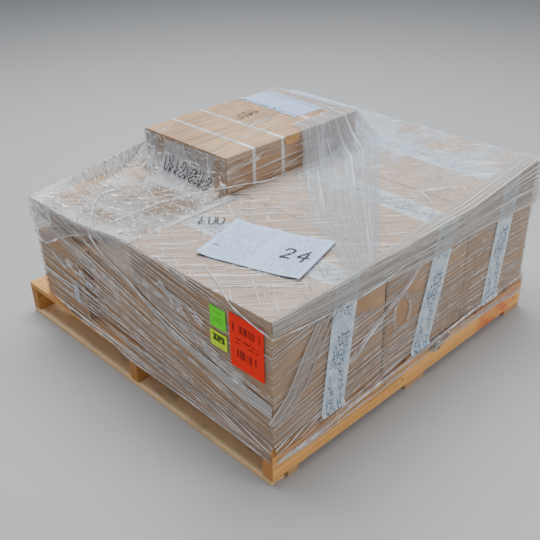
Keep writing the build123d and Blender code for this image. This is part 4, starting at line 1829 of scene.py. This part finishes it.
strandSettings = {
    # the long cord of film: x and y on the tent, then y and z down the left front face
    "cordOnTent": ((232, 880), (182, 905), (120, 871), (60, 795)),
    "cordOnFace": ((728, 448), (665, 404), (557, 367), (465, 323)),
    # its thinner end, by y and z
    "cordEnd": ((600, 386), (465, 322), (366, 290), (280, 276), (200, 266), (123, 258), (2, 254)),
    # from the near top over the left edge to the near corner: x and y, then y and z
    "overEdge": ((72, 314), (34, 209), (8, 150)),
    "belowEdge": ((124, 474), (60, 458), (0, 448)),
    # along the top of the right front face, by x and z
    "rightEdge": ((8, 447), (22, 442), (167, 428), (340, 421), (526, 441), (640, 452)),
    # a straight strand from the left edge to the top carton: x and y on the tent, then places
    "straightOnTent": ((40, 690), (120, 694), (225, 693), (310, 655)),
    "straightOn": ((372, 580, 512), (390, 566, 515), (437, 566, 508), (527, 562, 492),
                   (600, 548, 490)),
    # crumpled spots on the left front face: middle line by y and z, and how many strands
    "crumples": ((((414, 417), (378, 402), (344, 386), (311, 367)), 16),
                 (((268, 392), (250, 380)), 6),
                 (((952, 273), (892, 281), (843, 289), (792, 277), (750, 254), (710, 222)), 22)),
    # the bundle across the right front face: x, z and the spread between its strands
    "bundle": ((285, 228, 7), (318, 258, 6.5), (369, 291, 6), (438, 328, 5.5), (505, 362, 5),
               (545, 400, 4.5), (566, 440, 4)),
    "bundleStrands": 7,
    # the gathered band along the foot of the right front face, by x and z
    "foot": ((1, 80), (174, 84), (374, 98), (600, 112), (855, 126), (1117, 134), (1158, 135)),
    "footStrands": 3, "footPitch": 3.5,
    "shades": ((0.62, 0.64, 0.66, 1), (0.95, 0.97, 1.0, 1)),
}


def makeStrands():
    settings = strandSettings
    bm = bmesh.new()
    out = leftX - 3.5
    left, right, up = Vector((-1, 0, 0)), Vector((0, -1, 0)), Vector((0, 0, 1))

    def onTent(name):
        return [tentAt(x, y, 5) for x, y in settings[name]]

    def onLeft(name):
        return [at(out, y, z) for y, z in settings[name]]

    addStrand(bm, onTent("cordOnTent") + onLeft("cordOnFace"), 3.4 * mm, 16, 130, 0.7, left)
    addStrand(bm, onLeft("cordEnd"), 2.0 * mm, 10, 90, 0.6, left)
    overEdge = [at(x, y, levelZ + lift) for (x, y), lift in zip(settings["overEdge"], (3, 3, 0))]
    addStrand(bm, overEdge + onLeft("belowEdge"), 2.6 * mm, 10, 60, 0.6, left)
    addStrand(bm, [at(x, rightY - 5, z) for x, z in settings["rightEdge"]],
              2.2 * mm, 12, 80, 0.6, right)
    addStrand(bm, onTent("straightOnTent") + [at(*place) for place in settings["straightOn"]],
              2.0 * mm, 16, 110, 0.8, up)
    for middles, count in settings["crumples"]:
        line = [Vector((y, z, 0)) for y, z in middles]
        for _ in range(count):
            y, z = alongLine(line, dice.uniform(0, 0.999))[0].xy
            y, z = y + dice.uniform(-14, 14), z + dice.uniform(-9, 9)
            half, slope = dice.uniform(8, 34), dice.uniform(0.1, 0.9)
            places = [at(out - 0.6, y + half * t, z + half * t * slope + dice.uniform(-3, 3))
                      for t in (-1, -0.3, 0.4, 1)]
            addStrand(bm, places, dice.uniform(0.7, 2.0) * mm, 5, 14, 0.5, left)
    for number in range(settings["bundleStrands"]):
        side = number - settings["bundleStrands"] // 2
        lift = dice.uniform(-3, 3)
        places = [at(x + side * spread, rightY - 3.4, z + lift)
                  for x, z, spread in settings["bundle"]]
        addStrand(bm, places, dice.uniform(0.6, 1.2) * mm, 8, 60, 0.6, right)
    for number in range(settings["footStrands"]):
        rise = number * settings["footPitch"]
        places = [at(x, rightY - 12.4, z + rise + dice.uniform(-3, 3)) for x, z in settings["foot"]]
        addStrand(bm, places, dice.uniform(1.2, 2.3) * mm, 24, 150, 0.7, right)
    # the hem along the left front face
    places = [at(leftX - 11.5 + 4 * (y > 900), y, lowerEdge(0, y) + 2) for y in range(4, 1056, 75)]
    addStrand(bm, places, 1.8 * mm, 24, 150, 0.7, left)
    material = crestFinish("strandFilm", *settings["shades"], 0.6, 0.97)
    finishPiece("filmStrands", bm, material, "stretch_film")
    makeClump()
    print("strands made")


clumpSettings = {
    "x": (640, 742), "top": 118, "foot": 56, "cornerRise": 26,
    "lines": [(steepCourse, 90, 9, 0.06, 0.42, 1.0), (ownCourse, 110, 10, 0.06, 0.42, 0.9),
              (crossCourse, 120, 10, 0.06, 0.42, 0.9)],
    "clear": (0.34, 0.23, 0.14, 1),
}


def makeClump():
    # a loose clump of torn film that hangs over the stringer
    settings = clumpSettings

    def placeOf(u, v):
        z = mix(settings["top"], settings["foot"] + settings["cornerRise"] * abs(2 * u - 1), v)
        spot = Vector((u * 5, v * 5, 3))
        push = 8 * abs(noise.noise(spot)) + 5 * abs(noise.noise(spot * 2.3)) + 2
        push *= math.sin(math.pi * min(v + 0.15, 1))
        return at(mix(*settings["x"], u) + 8 * noise.noise(spot * 1.7), rightY - 4 - push, z)

    bm = newSheet()
    addGrid(bm, 60, 44, placeOf, (0.1, 0.07))
    clump = filmFinish("clumpFilm", settings["lines"], haze=0.40, highlightGain=0.6, bands=0.4, shadeGain=0.5,
                       clear=settings["clear"])
    finishPiece("filmClump", bm, clump, "stretch_film")


makeCamera()
makeStudio()
dressPallet()
dressCartons()
dressSmallParts()
makeTapes()
penInk = plainFinish("markerInk", colour(0.012, 0.012, 0.016), 0.5)
makePaperSheet(penInk)
makeSideWrap()
makeTopFilm()
makeTent()
makePenMarks(penInk)
makePatches()
makeTopCartonFilm()
makeVeil()
makePleats()
makeBands()
makeStrands()
